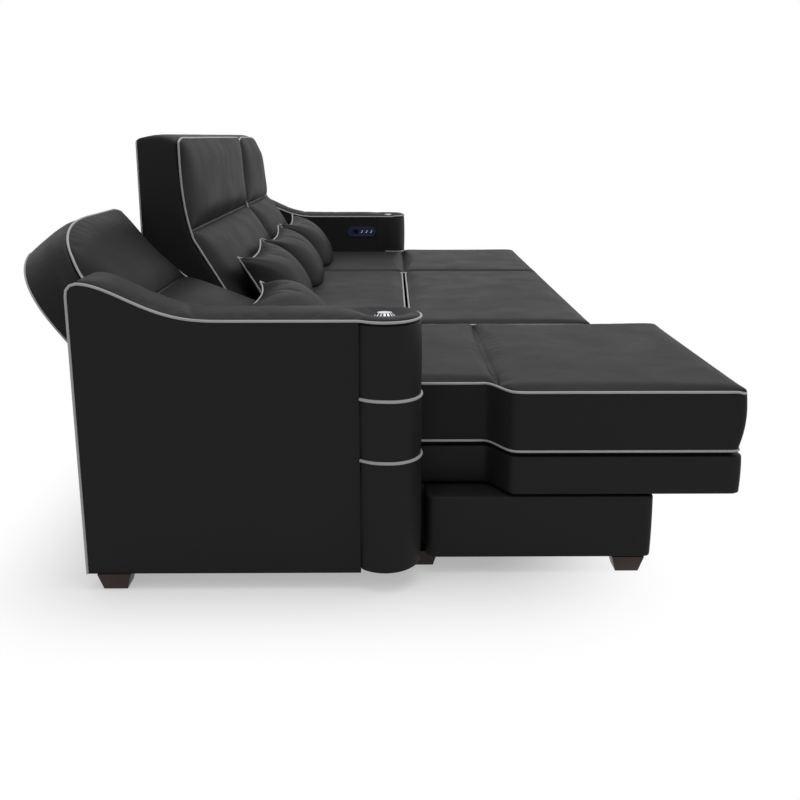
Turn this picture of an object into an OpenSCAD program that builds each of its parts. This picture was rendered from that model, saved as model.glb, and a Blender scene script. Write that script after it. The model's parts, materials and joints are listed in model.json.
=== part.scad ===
// Power reclining sofa of three sections, in millimetres.
// +X runs along the sofa, the front faces -Y and +Z is up. The origin is on the floor under the
// middle support foot. Each end piece is written once, for the closed section on the +X side. The
// section on the -X side is its mirror image, and at rest it is run out and laid back.

/* [Sections] */
// Width of the double middle section's seat and back
middle_w = 1300; // [1240:10:1500]
// Width of the seat and back of each end section
end_w = 800; // [720:10:900]
// Gap between neighbouring sections
section_gap = 6; // [4:1:12]
// Gap between an end section and its arm
arm_gap = 6; // [4:1:10]

/* [Motion] */
// How far the seat of an end section runs out
slide_travel = 205; // [120:5:205]
// How far the back of an end section lays back, in degrees
recline_angle = 38; // [20:1:38]

/* [Heights] */
// Height of the wood feet
foot_h = 42; // [30:1:50]
// Height of the fixed base box
base_h = 158; // [150:1:170]
// Running gap between the base box and the seat box
box_gap = 5; // [4:1:12]
// Height of the seat box
seat_box_h = 97; // [86:1:98]
// Height of the seat cushion up to its upper piping
cushion_h = 159; // [140:1:170]
// Rise of the seat cushion's crown above its upper piping
seat_crown = 14; // [8:1:18]

/* [Depths] */
// Front of the closed seats ahead of the origin
seat_front = 717; // [660:1:760]
// How far the base box stands back from the seat's front
base_setback = 6; // [4:1:30]
// Rear edge of the seat cushions behind the origin
seat_rear = 344; // [336:1:345]
// Cross seam of the seats ahead of the origin
seat_seam = 126; // [90:1:140]
// Extra width of an end seat in front of its arm
seat_flare = 95; // [70:1:100]
// Where the flare of an end seat starts, ahead of the origin
flare_start = 95; // [94:1:110]
// Length over which an end seat flares
flare_l = 68; // [60:1:80]

/* [Arms] */
// Width of an arm
arm_w = 179; // [160:1:190]
// Crease between an arm and its front column, behind the origin
crease_y = 3; // [0:1:10]
// Height of the arm's piping above the floor, beside the seat
arm_z = 649; // [630:1:680]
// Rise of the arm's piping towards the rear
arm_rise = 84; // [60:1:100]
// Where the rise starts behind the origin
rise_start = 300; // [250:1:330]
// Radius of the arm's upper rear corner
arm_corner_r = 24; // [12:1:30]
// Rear end of the arm behind the origin
arm_rear = 652; // [646:1:670]
// Crown of the arm's padded top
arm_crown = 12; // [8:1:20]
// Half width of the oval front column
column_rx = 102; // [98:1:106]
// Half depth of the oval front column
column_ry = 85; // [76:1:88]
// Front of the column ahead of the origin
column_front = 140; // [130:1:142]
// Gap between the column and the floor
column_z = 50; // [50:1:70]

/* [Control panel] */
// Length of the pill-shaped panel
panel_l = 144; // [130:1:150]
// Height of the panel
panel_h = 46; // [42:1:56]
// Depth of the panel's housing in the arm
panel_d = 18; // [16:1:30]
// How far the panel stands proud of the arm
panel_proud = 3; // [1:0.5:3]
// Centre of the panel behind the origin
panel_y = 82; // [80:1:120]
// Height of the panel's centre above the floor
panel_z = 571; // [560:1:585]
// Radius of a button
button_r = 8; // [6:0.5:10]
// Distance between buttons
button_pitch = 24; // [22:1:28]
// Middle button ahead of the panel's centre
button_offset = 26; // [20:1:30]
// Travel of a button
button_travel = 1.5; // [1:0.1:2]
// How far a button stands proud of the panel
button_proud = 2; // [1.5:0.1:2.5]

/* [Cap] */
// Radius of the metal cap's foot
cap_r = 24; // [20:1:30]
// Radius of the metal cap's top
cap_top_r = 19.5; // [16:0.5:19.5]
// Height of the metal cap
cap_h = 8; // [6:0.5:12]
// Number of slots in the cap's side
cap_slots = 12; // [8:1:16]
// Depth of the dish that the cap sits in
dish_d = 3; // [2:0.5:5]

/* [Backs] */
// Rear face of the upright backs behind the origin
back_rear = 716; // [708:1:730]
// Top of the backs above the floor
back_z = 1057; // [1020:1:1100]
// Thickness of a back at its top
head_t = 130; // [118:1:134]
// Upper front edge of the head section, below the top of the back
head_drop = 13; // [11:1:24]
// Height of the seam between head and lumbar cushion
seam_z = 760; // [750:1:780]
// How far the front leans forward down to the knee of the back
knee_set = 33; // [25:1:40]
// Knee of the back below the seam
knee_drop = 28; // [20:1:34]
// Lean of the lumbar section in degrees
lumbar_lean = 30.8; // [29.5:0.1:31.2]
// How far the outer side of an end back stands in from the side of its seat
back_inset = 41; // [20:1:60]
// Drop of an end back's round outer shoulder
shoulder_drop = 235; // [150:5:250]
// Width over which the outer shoulder drops
shoulder_w = 430; // [300:10:450]
// How far the front edge of the round shoulder stands in from its rear edge
shoulder_set = 16; // [8:1:20]
// Drop of the backs' square top corners
corner_drop = 6; // [4:1:12]
// Width over which the square corners drop
corner_w = 90; // [60:5:120]
// Crown of the head cushions
head_crown = 30; // [20:1:36]
// Crown of the lumbar cushions
lumbar_crown = 45; // [38:1:50]

/* [Hinge] */
// Hinge axis of a closed end back behind the origin
pivot_y = 475; // [474:1:480]
// Hinge axis above the floor
pivot_z = 357; // [354:1:362]
// Radius of the hinge pins
pin_r = 8; // [6:0.5:10]
// Length of the hinge pins
pin_l = 44; // [36:1:60]
// Radius of the bracket's eye
eye_r = 28; // [20:1:30]
// Thickness of the bracket plates
plate_t = 6; // [5:0.5:8]
// Distance of a bracket from the side of its back
bracket_in = 40; // [36:1:80]

/* [Slide] */
// Thickness of the boards in the base
board_t = 23; // [18:1:28]
// Length of the rails that move with the seat
slide_rail_l = 265; // [200:5:265]
// Height of the fixed rails
rail_h = 45; // [38:1:50]
// Width of the fixed rails
rail_w = 14; // [12:0.5:20]
// Radius of the actuator's rod
rod_r = 10; // [8:0.5:12]
// Radius of the actuator's outer tube
tube_r = 20; // [17:0.5:24]
// Height of the actuator's axis above the floor
actuator_z = 130; // [120:1:135]

/* [Pillows] */
// Width of a lumbar pillow
pillow_w = 590; // [500:10:600]
// Centre of a middle pillow from the middle of the sofa
pillow_mid_x = 312; // [306:1:330]
// Centre of an end pillow from its section's inner side
pillow_end_x = 313; // [306:1:400]
// Height of a pillow's upper corners above the floor
pillow_z = 674; // [660:1:690]
// Full height of a pillow along its lean
pillow_h = 330; // [310:5:350]
// Swell of a pillow ahead of its edge
pillow_belly = 112; // [90:1:120]
// Swell of the pillow on the back that is laid back at rest, which lies thicker towards its top
flat_belly = 78; // [60:1:120]
// How much thicker its top is than its foot
flat_skew = 1.2; // [0:0.1:1.2]
// Swell of a pillow behind its edge
pillow_back = 39; // [30:1:45]
// Dip of a pillow's upper edge between its corners
pillow_dip = 34; // [20:1:45]

/* [Hidden] */

leather = "#2b2b2b";
dark_leather = "#202020";
steel = "#8a8d90";
board = "#b08a5a";
black_plastic = "#15171c";

// Fits
soft_gap = 0.3;
bore_gap = 0.05;
slot_gap = 2;
rail_gap = 0.3;

// Places across the sofa
x_mid = middle_w / 2;
x_in = x_mid + section_gap;
x_bound = (x_mid + x_in) / 2;
x_out = x_in + end_w;
x_centre = (x_in + x_out) / 2;
x_arm = x_out + arm_gap;
x_arm_out = x_arm + arm_w;
x_column = x_arm + column_rx;
x_cap = x_arm + arm_w / 2;
x_wide = x_out + seat_flare;
x_back = x_out - back_inset;

// Heights above the floor
base_top = foot_h + base_h;
seat_box_z = base_top + box_gap;
seat_box_top = seat_box_z + seat_box_h;
pipe_z = seat_box_top + cushion_h;
seat_top = pipe_z + seat_crown;
head_z = back_z - head_drop;
panel_top_z = seat_box_top - 12;

// Depths
base_front = seat_front - base_setback;
base_block_rear = flare_start + flare_l - 9;
seat_box_rear = seat_rear - 9;
rear_board_y = arm_rear - 27;
column_y = column_ry - column_front;
head_front = back_rear - head_t;
knee_z = seam_z - knee_drop;
lumbar_foot = 118;
line_z = pivot_z + lumbar_foot;
shell_lip_r = 103;
cushion_lip_r = pivot_y - seat_rear - 2.5;

// The runner boards start behind the base box, and the outer one widens to the arm behind the column
runner_front = -base_block_rear;
runner_step = crease_y + 7;

// Smooth step from 0 to 1
function smooth(t) = let(c = max(0, min(1, t))) c * c * (3 - 2 * c);

// The numbers of v in rising order, each once
function sorted(v) = len(v) < 2 ? v :
  concat(sorted([for (a = v) if (a < v[0] - 0.01) a]), [v[0]], sorted([for (a = v) if (a > v[0] + 0.01) a]));

function reversed(v) = [for (i = [len(v) - 1:-1:0]) v[i]];
function mean(v) = v * [for (a = v) 1] / len(v);
function mean_point(r) = [for (i = [0:2]) mean([for (p = r) p[i]])];

// Triangles across the end ring that starts at point k: a fan to the point c, or rungs between its two sides
function fan(k, m, c) = [for (j = [0:m - 1]) [c, k + j, k + (j + 1) % m]];
function rungs(k, m) = [for (i = [0:m / 2 - 2]) let(a = k + i, b = k + m - 1 - i)
  each [[a, a + 1, b - 1], [a, b - 1, b]]];
function flipped(faces) = [for (f = faces) [f[0], f[2], f[1]]];

// Closed skin over rings of equally many points. A thin or bent end is closed with rungs
module loft(rings, thin = false) {
  n = len(rings);
  m = len(rings[0]);
  last = (n - 1) * m;
  sides = [for (i = [0:n - 2], j = [0:m - 1]) let(a = i * m + j, b = i * m + (j + 1) % m)
    each [[a, b, b + m], [a, b + m, a + m]]];
  ends = thin
    ? concat(flipped(rungs(0, m)), rungs(last, m))
    : concat(flipped(fan(0, m, n * m)), fan(last, m, n * m + 1));
  middles = thin ? [] : [mean_point(rings[0]), mean_point(rings[n - 1])];
  polyhedron(concat([for (r = rings) each r], middles), concat(sides, ends));
}

// Extrudes a profile drawn in (y, z) from x0 to x1
module along_x(x0, x1) {
  translate([x0, 0, 0]) rotate([90, 0, 90]) linear_extrude(x1 - x0) children();
}

// Extrudes a profile drawn in (x, z) from y0 to y1
module along_y(y0, y1) {
  translate([0, y1, 0]) rotate([90, 0, 0]) linear_extrude(y1 - y0) children();
}

// Quarter round from angle a0 to a1
function arc(c, r, a0, a1, n = 6) = [for (i = [0:n]) let(a = a0 + (a1 - a0) * i / n)
  [c[0] + r * cos(a), c[1] + r * sin(a)]];

// Outer side of an end seat at a place y
function outer_x(y) = x_out + seat_flare * smooth((-flare_start - y) / flare_l);

// Plan of an end seat box, with its flare in front of the arm
module flared_plan(front, rear, corner = 22) {
  flare = [for (i = [10:-1:0]) let(y = -flare_start - flare_l * i / 10) [outer_x(y), y]];
  polygon(concat(
    [[x_in, rear], [x_in, -front]],
    arc([x_wide - corner, corner - front], corner, -90, 0),
    flare,
    [[x_out, rear]]
  ));
}

// Seat cushions
lower_pipe = 13;
side_draw = 3;
crown_run = 60;
corner_run = 20;
seam_w = 9;
seam_dip = 9;

function corner_inset(d) = d >= corner_run ? 0 :
  corner_run - sqrt(pow(corner_run, 2) - pow(corner_run - d, 2));
function crown_at(d) = 1 - pow(1 - min(d, crown_run) / crown_run, 2);

// Section of a cushion at y, between the sides xl and xr, d away from its nearest end
function seat_ring(y, xl, xr, d, dip) =
  let(c = seat_crown * crown_at(d), z0 = seat_box_top + soft_gap, low = seat_box_top + lower_pipe,
      half = (xr - xl) / 2, inset = corner_inset(d),
      side = [[12, z0], [3, z0 + 5], [0, low], [side_draw, (low + pipe_z) / 2], [0, pipe_z],
              [5, pipe_z + 0.3 * c], [40, pipe_z + 0.8 * c - 0.5 * dip], [130, pipe_z + c - dip],
              [half - inset, pipe_z + c - dip]])
  concat([for (s = side) [xl + inset + min(s[0], half - inset), y, s[1]]],
         [for (i = [len(side) - 2:-1:0]) [xr - inset - side[i][0], y, side[i][1]]],
         [[(xl + xr) / 2, y, z0]]);

function end_steps(a, s) = [for (d = [0, 2, 7, corner_run, 40, crown_run]) a + s * d];

// Cushion from the front y0 to the rear y1
module plain_cushion(y0, y1) {
  steps = sorted(concat(end_steps(y0, 1), end_steps(y1, -1), [(y0 + y1) / 2]));
  color(leather) loft([for (y = reversed(steps)) seat_ring(y, -x_mid, x_mid, min(y - y0, y1 - y), 0)]);
}

// One-piece end seat cushion with its cross seam and its flare in front of the arm
module seat_cushion() {
  flare = [for (i = [0:6]) -flare_start - flare_l * i / 6];
  seam = [for (k = [-2, -1, 0, 1, 2]) k * seam_w - seat_seam];
  between = [-(seat_front + flare_start + flare_l) / 2, (seat_rear - seat_seam) / 2];
  steps = sorted(concat(end_steps(-seat_front, 1), end_steps(seat_rear, -1), flare, seam, between));
  color(leather) loft([for (y = reversed(steps))
    seat_ring(y, x_in, outer_x(y), min(y + seat_front, seat_rear - y),
              seam_dip * exp(-pow((y + seat_seam) / seam_w, 2)))]);
}

// Backs
function line_y(z) = head_front - knee_set - (knee_z - z) * tan(lumbar_lean);
function front_y(z) = z < knee_z ? line_y(z) :
  head_front - knee_set * pow(max(0, head_z - z) / (head_z - knee_z), 3);

lip_angles = [38, 20, 4, -12];
function lip(r, a) = [pivot_y - r * cos(a), pivot_z + r * sin(a)];

head_levels = [for (i = [0:24]) seam_z + (head_z - seam_z) * i / 24];
lumbar_levels = [for (i = [0:6]) knee_z + (line_z - knee_z) * i / 6];
lumbar_base = concat([[front_y(seam_z - 3), seam_z - 3]], [for (z = lumbar_levels) [line_y(z), z]],
                     [for (a = lip_angles) lip(shell_lip_r, a)]);

// Bowed top from the upper front edge to the upper rear edge
top_rear_z = head_z - 3;
top_curve = [for (i = [1:9]) let(t = i / 10)
  [head_front + head_t * t, head_z + head_drop * sin(180 * pow(t, 0.75)) + (top_rear_z - head_z) * t]];

skirt_z = 360;
shell_low_z = 300;
shell_heel = 45;
shell_toe = 80;

module shell_profile(bottom) {
  polygon(concat(
    [for (a = [3:-1:0]) lip(shell_lip_r, lip_angles[a])],
    [for (i = [6:-1:0]) [line_y(lumbar_levels[i]), lumbar_levels[i]]],
    [for (z = head_levels) [front_y(z), z]],
    top_curve,
    [[back_rear, top_rear_z]],
    bottom
  ));
}

// Drop of a back's top at d from its square side, and of a round shoulder at d from its side
function drop(d, h, w) = d >= w ? 0 : let(r = (h * h + w * w) / (2 * h)) r - sqrt(r * r - pow(w - d, 2));
shoulder_power = 2.6;
function round_drop(d) = d >= shoulder_w ? 0 :
  shoulder_drop * (1 - pow(1 - pow(1 - d / shoulder_w, shoulder_power), 1 / shoulder_power));

// Height of the top of an end back at x, and of the middle back
function end_top(x) = back_z - round_drop(x_back - x) - drop(x - x_in, corner_drop, corner_w);
function end_front(x) = back_z - head_drop - round_drop(max(0, x_back - shoulder_set - x));
function middle_top(x) = back_z - drop(x_mid - abs(x), corner_drop, corner_w);

module shell_outline(xs, tops) {
  polygon(concat([[xs[0], 0]], [for (i = [0:len(xs) - 1]) [xs[i], tops[i]]], [[xs[len(xs) - 1], 0]]));
}

hinge_x = [x_in + bracket_in, x_back - bracket_in - plate_t];

module back_shell() {
  corner = [for (i = [0:4]) x_in + corner_w * i / 4];
  shoulder = [for (i = [0:16]) x_back - shoulder_w * pow(1 - i / 16, 2)];
  xs = concat(corner, shoulder);
  color(dark_leather) difference() {
    intersection() {
      along_x(x_in, x_back) shell_profile([[back_rear, skirt_z], [pivot_y + shell_heel, shell_low_z],
                                           [pivot_y - shell_toe, shell_low_z]]);
      along_y(0, back_rear + 10) shell_outline(xs, [for (x = xs) end_top(x)]);
    }
    for (x = hinge_x) {
      translate([x - slot_gap, 0, 0])
        cube([plate_t + 2 * slot_gap, pivot_y + eye_r + slot_gap, pivot_z + eye_r + slot_gap]);
      translate([x + plate_t / 2 - pin_l / 2 - 0.5, pivot_y, pivot_z]) rotate([0, 90, 0])
        cylinder(r = pin_r + bore_gap, h = pin_l + 1, $fn = 48);
    }
  }
}

module middle_back_shell() {
  side = [for (i = [0:4]) corner_w * i / 4];
  xs = concat([for (d = side) d - x_mid], [for (i = [4:-1:0]) x_mid - side[i]]);
  color(dark_leather) intersection() {
    along_x(-x_mid, x_mid) shell_profile([[back_rear, skirt_z], [rear_board_y - 5, panel_top_z + 15],
                                          [rear_board_y - 5, base_top], [pivot_y - shell_toe, base_top]]);
    along_y(0, back_rear + 10) shell_outline(xs, [for (x = xs) middle_top(x)]);
  }
}

rim_t = 4;
edge_run = 90;
head_corner = 13;
head_corner_w = 70;
function edge_rise(d) = 1 - pow(1 - min(d, edge_run) / edge_run, 2.4);

// Section of a head cushion at x, d from its nearest side, up to the height zt
function head_ring(x, d, zt) =
  let(z0 = seam_z + 2, n = 8, b = head_crown * edge_rise(d))
  concat([for (i = [0:n]) let(z = z0 + (zt - z0) * i / n) [x, front_y(z) - soft_gap, z]],
         [for (i = [n:-1:0]) let(s = i / n, z = z0 + (zt - z0) * s)
           [x, front_y(z) - rim_t - b * pow(1 - pow(abs(2 * s - 1), 2.5), 0.7), z]]);

// Section of a lumbar cushion at x, d from its nearest side
function lumbar_ring(x, d) =
  let(n = len(lumbar_base), e = edge_rise(d), rim = edge_rise(d * 6),
      skin = [for (i = [0:7])
        let(v = i / 7, swell = pow(sin(90 * min(1, v * 1.9)), 0.7),
            t = rim_t + (lumbar_crown - rim_t) * e * swell)
        [lumbar_base[i][0] - t * cos(lumbar_lean), lumbar_base[i][1] + t * sin(lumbar_lean) * v]],
      lips = [for (k = [0:3]) let(r = cushion_lip_r + [22, 7, 1, 0][k] * e)
        lip(shell_lip_r + rim_t + (r - shell_lip_r - rim_t) * rim, lip_angles[k])])
  concat([for (p = lumbar_base) let(q = p - [soft_gap, 0]) [x, q[0], q[1]]],
         [for (k = [3:-1:0]) [x, lips[k][0], lips[k][1]]],
         [for (i = [7:-1:0]) [x, skin[i][0], skin[i][1]]]);

side_steps = [1, 4, 12, 30, 60, edge_run];
function across(a, b) =
  sorted(concat([for (d = side_steps) a + d], [for (d = side_steps) b - d], [(a + b) / 2]));

module head_cushion(a, b, tops) {
  xs = across(a, b);
  color(leather) loft(reversed([for (i = [0:len(xs) - 1])
    let(d = min(xs[i] - a, b - xs[i]))
    head_ring(xs[i], d, min(head_z - drop(d, head_corner, head_corner_w), tops[i]))]), thin = true);
}

module lumbar_cushion(a, b) {
  xs = across(a, b);
  color(leather) loft([for (i = [0:len(xs) - 1]) lumbar_ring(xs[i], min(xs[i] - a, b - xs[i]))], thin = true);
}

// Lumbar pillows
pillow_sink = 0.2;
pillow_y = line_y(pillow_z) - (lumbar_crown + pillow_back - pillow_sink) / cos(lumbar_lean);
pillow_draw = 16;
pillow_edge = 2;
rear_power = 0.6;
seat_t = (pillow_z - seat_top - soft_gap) / cos(lumbar_lean);

// Point of a pillow centred at xc: u runs across it, and the angle a round its section. The foot is flat on
// the seat, which the back's lean reaches at seat_t
function pillow_point(xc, u, a, belly, skew) =
  let(t0 = pillow_dip * (1 - pow(abs(u), 2.5)), s = (1 - cos(a)) / 2,
      e = pow(max(0, 1 - pow(abs(u), 3)), 0.55),
      n = a <= 180
        ? pillow_edge + belly * (1 + skew * (0.25 - s)) * e * pow(abs(sin(a)), 0.85)
        : -pillow_edge - (pillow_back - pillow_edge) * e * pow(abs(sin(a)), rear_power),
      end = seat_t + (pillow_h - seat_t) * e,
      t = min(t0 + (end - t0) * s, seat_t + n * tan(lumbar_lean)),
      x = xc + u * (pillow_w / 2 - pillow_draw * (1 - pow(2 * s - 1, 2))),
      y = pillow_y - t * sin(lumbar_lean) - n * cos(lumbar_lean),
      z = pillow_z - t * cos(lumbar_lean) + n * sin(lumbar_lean))
  [x, y, z];

module pillow(xc, belly = pillow_belly, skew = 0) {
  us = [-1, -0.93, -0.8, -0.6, -0.3, 0, 0.3, 0.6, 0.8, 0.93, 1];
  angles = [for (i = [0:15]) 11.25 + 22.5 * i];
  color(leather)
    loft([for (u = us) [for (i = [15:-1:0]) pillow_point(xc, u, angles[i], belly, skew)]], thin = true);
}

// Arms
rise_end = arm_rear - arm_corner_r;
rise_n = 16;
function rise_at(i) = rise_start + (rise_end - rise_start) * i / rise_n;
function rise_part(y) = max(0, min(1, (y - rise_start) / (rise_end - rise_start)));
function arm_top(y) = arm_z + arm_rise * smooth(pow(rise_part(y), 1.5));

module pill(l, h) {
  translate([-(l - h) / 2, -h / 2]) square([l - h, h]);
  for (s = [-1, 1]) translate([s * (l - h) / 2, 0]) circle(h / 2, $fn = 48);
}

module panel_body(grow, depth) {
  along_x(x_arm - panel_proud, x_arm + depth) translate([panel_y, panel_z])
    pill(panel_l + 2 * grow, panel_h + 2 * grow);
}

module arm() {
  rise = [for (i = [0:rise_n]) [rise_at(i), arm_top(rise_at(i))]];
  corner = arc([rise_end, arm_z + arm_rise - arm_corner_r], arm_corner_r, 90, 0);
  color(leather) difference() {
    along_x(x_arm, x_arm_out)
      polygon(concat([[crease_y, foot_h], [crease_y, arm_z]], rise, corner, [[arm_rear, foot_h]]));
    panel_body(soft_gap, panel_d + soft_gap);
  }
}

// Padded top of the arm
pad_inset = 2;
pad_rim = 3;
pad_end = 5;
pad_square = 6;
pad_steps = [0, 6, 20, 45, 80, 160];
pad_end_steps = [0, 4, 12, 25];

module arm_pad() {
  us = [0, 0.03, 0.1, 0.25, 0.5, 0.75, 0.9, 0.97, 1];
  y1 = rise_end - 1;
  a = x_arm + pad_inset;
  b = x_arm_out - pad_inset;
  steps = sorted(concat([for (d = pad_steps) crease_y + d], [for (d = pad_end_steps) y1 - d],
                        [for (i = [0:rise_n - 2]) rise_at(i)]));
  color(leather) loft([for (y = reversed(steps))
    let(swell = smooth((y - crease_y) / 80) * smooth((y1 + 12 - y) / 40),
        h = (arm_crown - pad_end) * swell + pad_end - pad_rim, z = arm_top(y) + soft_gap)
    concat([for (u = us)
             [a + (b - a) * u, y, z + pad_rim + h * pow(1 - pow(abs(2 * u - 1), pad_square), 0.6)]],
           [[b, y, z], [(a + b) / 2, y, z], [a, y, z]])]);
}

dish_rim = 8;
cap_foot = 2;
slot_w = 3;
slot_d = 3.5;

module column_plan() {
  intersection() {
    polygon([for (a = [0:7.5:359]) [x_column + column_rx * cos(a), column_y + column_ry * sin(a)]]);
    translate([x_arm, -column_front]) square([2 * column_rx, column_front + crease_y]);
  }
}

module column() {
  color(leather) difference() {
    translate([0, 0, column_z]) linear_extrude(arm_z - column_z) column_plan();
    translate([x_cap, column_y, arm_z - dish_d]) cylinder(r = cap_r + dish_rim, h = dish_d + 1, $fn = 64);
  }
}

module cap() {
  color("#c9ccd6") translate([x_cap, column_y, arm_z - dish_d]) difference() {
    union() {
      cylinder(r = cap_r, h = cap_foot, $fn = 64);
      cylinder(r = cap_top_r, h = cap_h, $fn = 64);
    }
    for (i = [0:cap_slots - 1]) rotate(i * 360 / cap_slots)
      translate([cap_top_r - slot_d, -slot_w / 2, cap_foot + 1])
        cube([slot_d + 5, slot_w, cap_h - cap_foot - 2.5]);
  }
}

// Control panel and its buttons
button_l = 9;
button_room = 2;
function button_y(i) = panel_y - button_offset + i * button_pitch;

module button_at(i, x, r, l) {
  translate([x, button_y(i), panel_z]) rotate([0, 90, 0]) cylinder(r = r, h = l, $fn = 40);
}

module control_panel() {
  color(black_plastic) difference() {
    panel_body(0, panel_d);
    for (i = [-1:1])
      button_at(i, x_arm - panel_proud - 1, button_r + soft_gap, button_l + button_travel + button_room);
  }
}

module button(i) {
  color("#2a3140") button_at(i, x_arm - panel_proud - button_proud, button_r, button_l + button_proud);
}

// Base
base_corner = 20;
panel_t = 20;

module base_box() {
  color(leather) translate([0, 0, foot_h]) linear_extrude(base_h)
    polygon(concat([[x_bound, runner_front], [x_bound, -base_front]],
                   arc([x_wide - base_corner, base_corner - base_front], base_corner, -90, 0),
                   arc([x_wide - base_corner, runner_front - base_corner], base_corner, 0, 90)));
}

module middle_base_box() {
  color(leather) translate([-x_bound, -base_front, foot_h])
    cube([2 * x_bound, base_front - base_block_rear, base_h]);
}

module base_runners() {
  color(board) translate([0, 0, foot_h]) linear_extrude(base_h) {
    translate([x_bound, runner_front]) square([board_t, rear_board_y - runner_front]);
    polygon([[x_out - board_t, runner_front], [x_out, runner_front], [x_out, runner_step],
             [x_arm, runner_step], [x_arm, rear_board_y], [x_out - board_t, rear_board_y]]);
  }
}

module middle_base_runners() {
  color(board) for (x = [board_t - x_bound, board_t / 2, x_bound])
    translate([x - board_t, runner_front, foot_h]) cube([board_t, rear_board_y - runner_front, base_h]);
}

module rear_panel(a, b) {
  color(leather) translate([a, rear_board_y, foot_h]) cube([b - a, panel_t, panel_top_z - foot_h]);
}

foot_top = 80;
foot_tip = 57;
foot_arm_x = 36;
foot_arm_y = 62;
foot_wide_x = 40;
foot_short_x = 14;
foot_short_y = 8;
foot_rear_y = 65;
foot_front_y = 56;

module foot(x, y) {
  side = [[-foot_tip / 2, 0], [foot_tip / 2, 0], [foot_top / 2, foot_h], [-foot_top / 2, foot_h]];
  translate([x, y, 0]) intersection() {
    along_x(-foot_top, foot_top) polygon(side);
    along_y(-foot_top, foot_top) polygon(side);
  }
}

module feet() {
  front_y = foot_front_y - base_front;
  end_feet = [[x_arm_out - foot_arm_x, arm_rear - foot_arm_y], [x_wide - foot_wide_x, front_y],
              [x_out + foot_short_x, runner_front + foot_short_y], [x_bound, front_y],
              [x_bound, rear_board_y - foot_rear_y]];
  color("#2a1a10") {
    for (s = [-1, 1], p = end_feet) foot(s * p[0], p[1]);
    foot(0, 0);
  }
}

// Slide rails
rail_z = base_top - rail_h;
rail_end = 60;
tongue_h = 19;
groove_d = 9;
web_t = 6;

// Profile of a fixed rail on a board whose face is at x = 0
module fixed_rail_profile() {
  difference() {
    translate([0, rail_z]) square([rail_w, rail_h]);
    translate([rail_w - groove_d, rail_z + (rail_h - tongue_h) / 2]) square([groove_d + 1, tongue_h]);
  }
}

module moving_rail_profile() {
  translate([rail_w - groove_d + 1, rail_z + (rail_h - tongue_h) / 2 + rail_gap])
    square([groove_d + web_t / 2, tongue_h - 2 * rail_gap]);
  translate([rail_w + 1, rail_z + 5]) square([web_t, seat_box_z - rail_z - 5]);
}

// Puts a rail profile on the inner and the outer runner board
module both_rails(y0, y1) {
  along_y(y0, y1) translate([x_bound + board_t, 0]) children();
  along_y(y0, y1) translate([x_out - board_t, 0]) mirror([1, 0]) children();
}

module fixed_rails() {
  color(steel) both_rails(runner_front, rear_board_y - rail_end) fixed_rail_profile();
}

module moving_rails() {
  rear = seat_box_rear - 10;
  color(steel) both_rails(rear - slide_rail_l, rear) moving_rail_profile();
}

// Actuator. Its tube starts behind the drive plate, and the rod's rear end stays inside the tube
bracket_in_y = 143;
bracket_y = seat_box_rear - bracket_in_y;
tube_front = bracket_y + 33;
gearbox_l = 80;
gearbox_w = 70;
gearbox_y = rear_board_y - gearbox_l;
motor_r = 28;
motor_l = 110;
motor_off = 60;
rod_front = bracket_y - 12;
rod_short = 65;
rod_l = gearbox_y - rod_short - rod_front;

module actuator() {
  color("#3a3d42") difference() {
    union() {
      translate([x_centre - gearbox_w / 2, gearbox_y, actuator_z - gearbox_w / 2])
        cube([gearbox_w, rear_board_y - gearbox_y, gearbox_w]);
      translate([x_centre, tube_front, actuator_z]) rotate([-90, 0, 0])
        cylinder(r = tube_r, h = gearbox_y - tube_front, $fn = 48);
      translate([x_centre + motor_off, gearbox_y - motor_l, actuator_z]) rotate([-90, 0, 0])
        cylinder(r = motor_r, h = motor_l, $fn = 48);
      translate([x_centre + motor_off / 2, gearbox_y, actuator_z - motor_r])
        cube([motor_off, motor_off, 2 * motor_r]);
    }
    translate([x_centre, tube_front - 1, actuator_z]) rotate([-90, 0, 0])
      cylinder(r = rod_r + bore_gap, h = gearbox_y - tube_front - 4, $fn = 48);
  }
}

module actuator_rod() {
  color(steel) translate([x_centre, rod_front, actuator_z]) rotate([-90, 0, 0])
    cylinder(r = rod_r, h = rod_l, $fn = 48);
}

// Hinge brackets on the seat box, and the plate that the rod pushes
flange_t = 6;
flange_w = 40;
flange_h = 70;
flange_z = seat_box_z + 7;
drive_t = 8;
drive_w = 60;
drive_edge = 22;

module hinge_bracket(side) {
  from = [seat_box_rear, flange_z + flange_h];
  d = [pivot_y, pivot_z] - from;
  n = [-d[1], d[0]] / norm(d) * eye_r;
  along_x(0, plate_t) {
    polygon([[seat_box_rear, flange_z], from, [pivot_y, pivot_z] + n, [pivot_y, pivot_z] - n]);
    translate([pivot_y, pivot_z]) circle(eye_r, $fn = 48);
  }
  translate([side > 0 ? 0 : plate_t - flange_w, seat_box_rear, flange_z])
    cube([flange_w, flange_t, flange_h]);
}

module brackets() {
  color(steel) {
    difference() {
      for (i = [0, 1]) translate([hinge_x[i], 0, 0]) hinge_bracket(1 - 2 * i);
      translate([x_in, pivot_y, pivot_z]) rotate([0, 90, 0])
        cylinder(r = pin_r + bore_gap, h = end_w, $fn = 48);
    }
    difference() {
      translate([x_centre - drive_w / 2, bracket_y - drive_t / 2, actuator_z - drive_edge])
        cube([drive_w, drive_t, seat_box_z - actuator_z + drive_edge]);
      translate([x_centre, bracket_y - drive_t, actuator_z]) rotate([-90, 0, 0])
        cylinder(r = rod_r + bore_gap, h = 2 * drive_t, $fn = 48);
    }
  }
}

module hinge_pins() {
  color(steel) for (x = hinge_x)
    translate([x + plate_t / 2 - pin_l / 2, pivot_y, pivot_z]) rotate([0, 90, 0])
      cylinder(r = pin_r, h = pin_l, $fn = 48);
}

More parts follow.
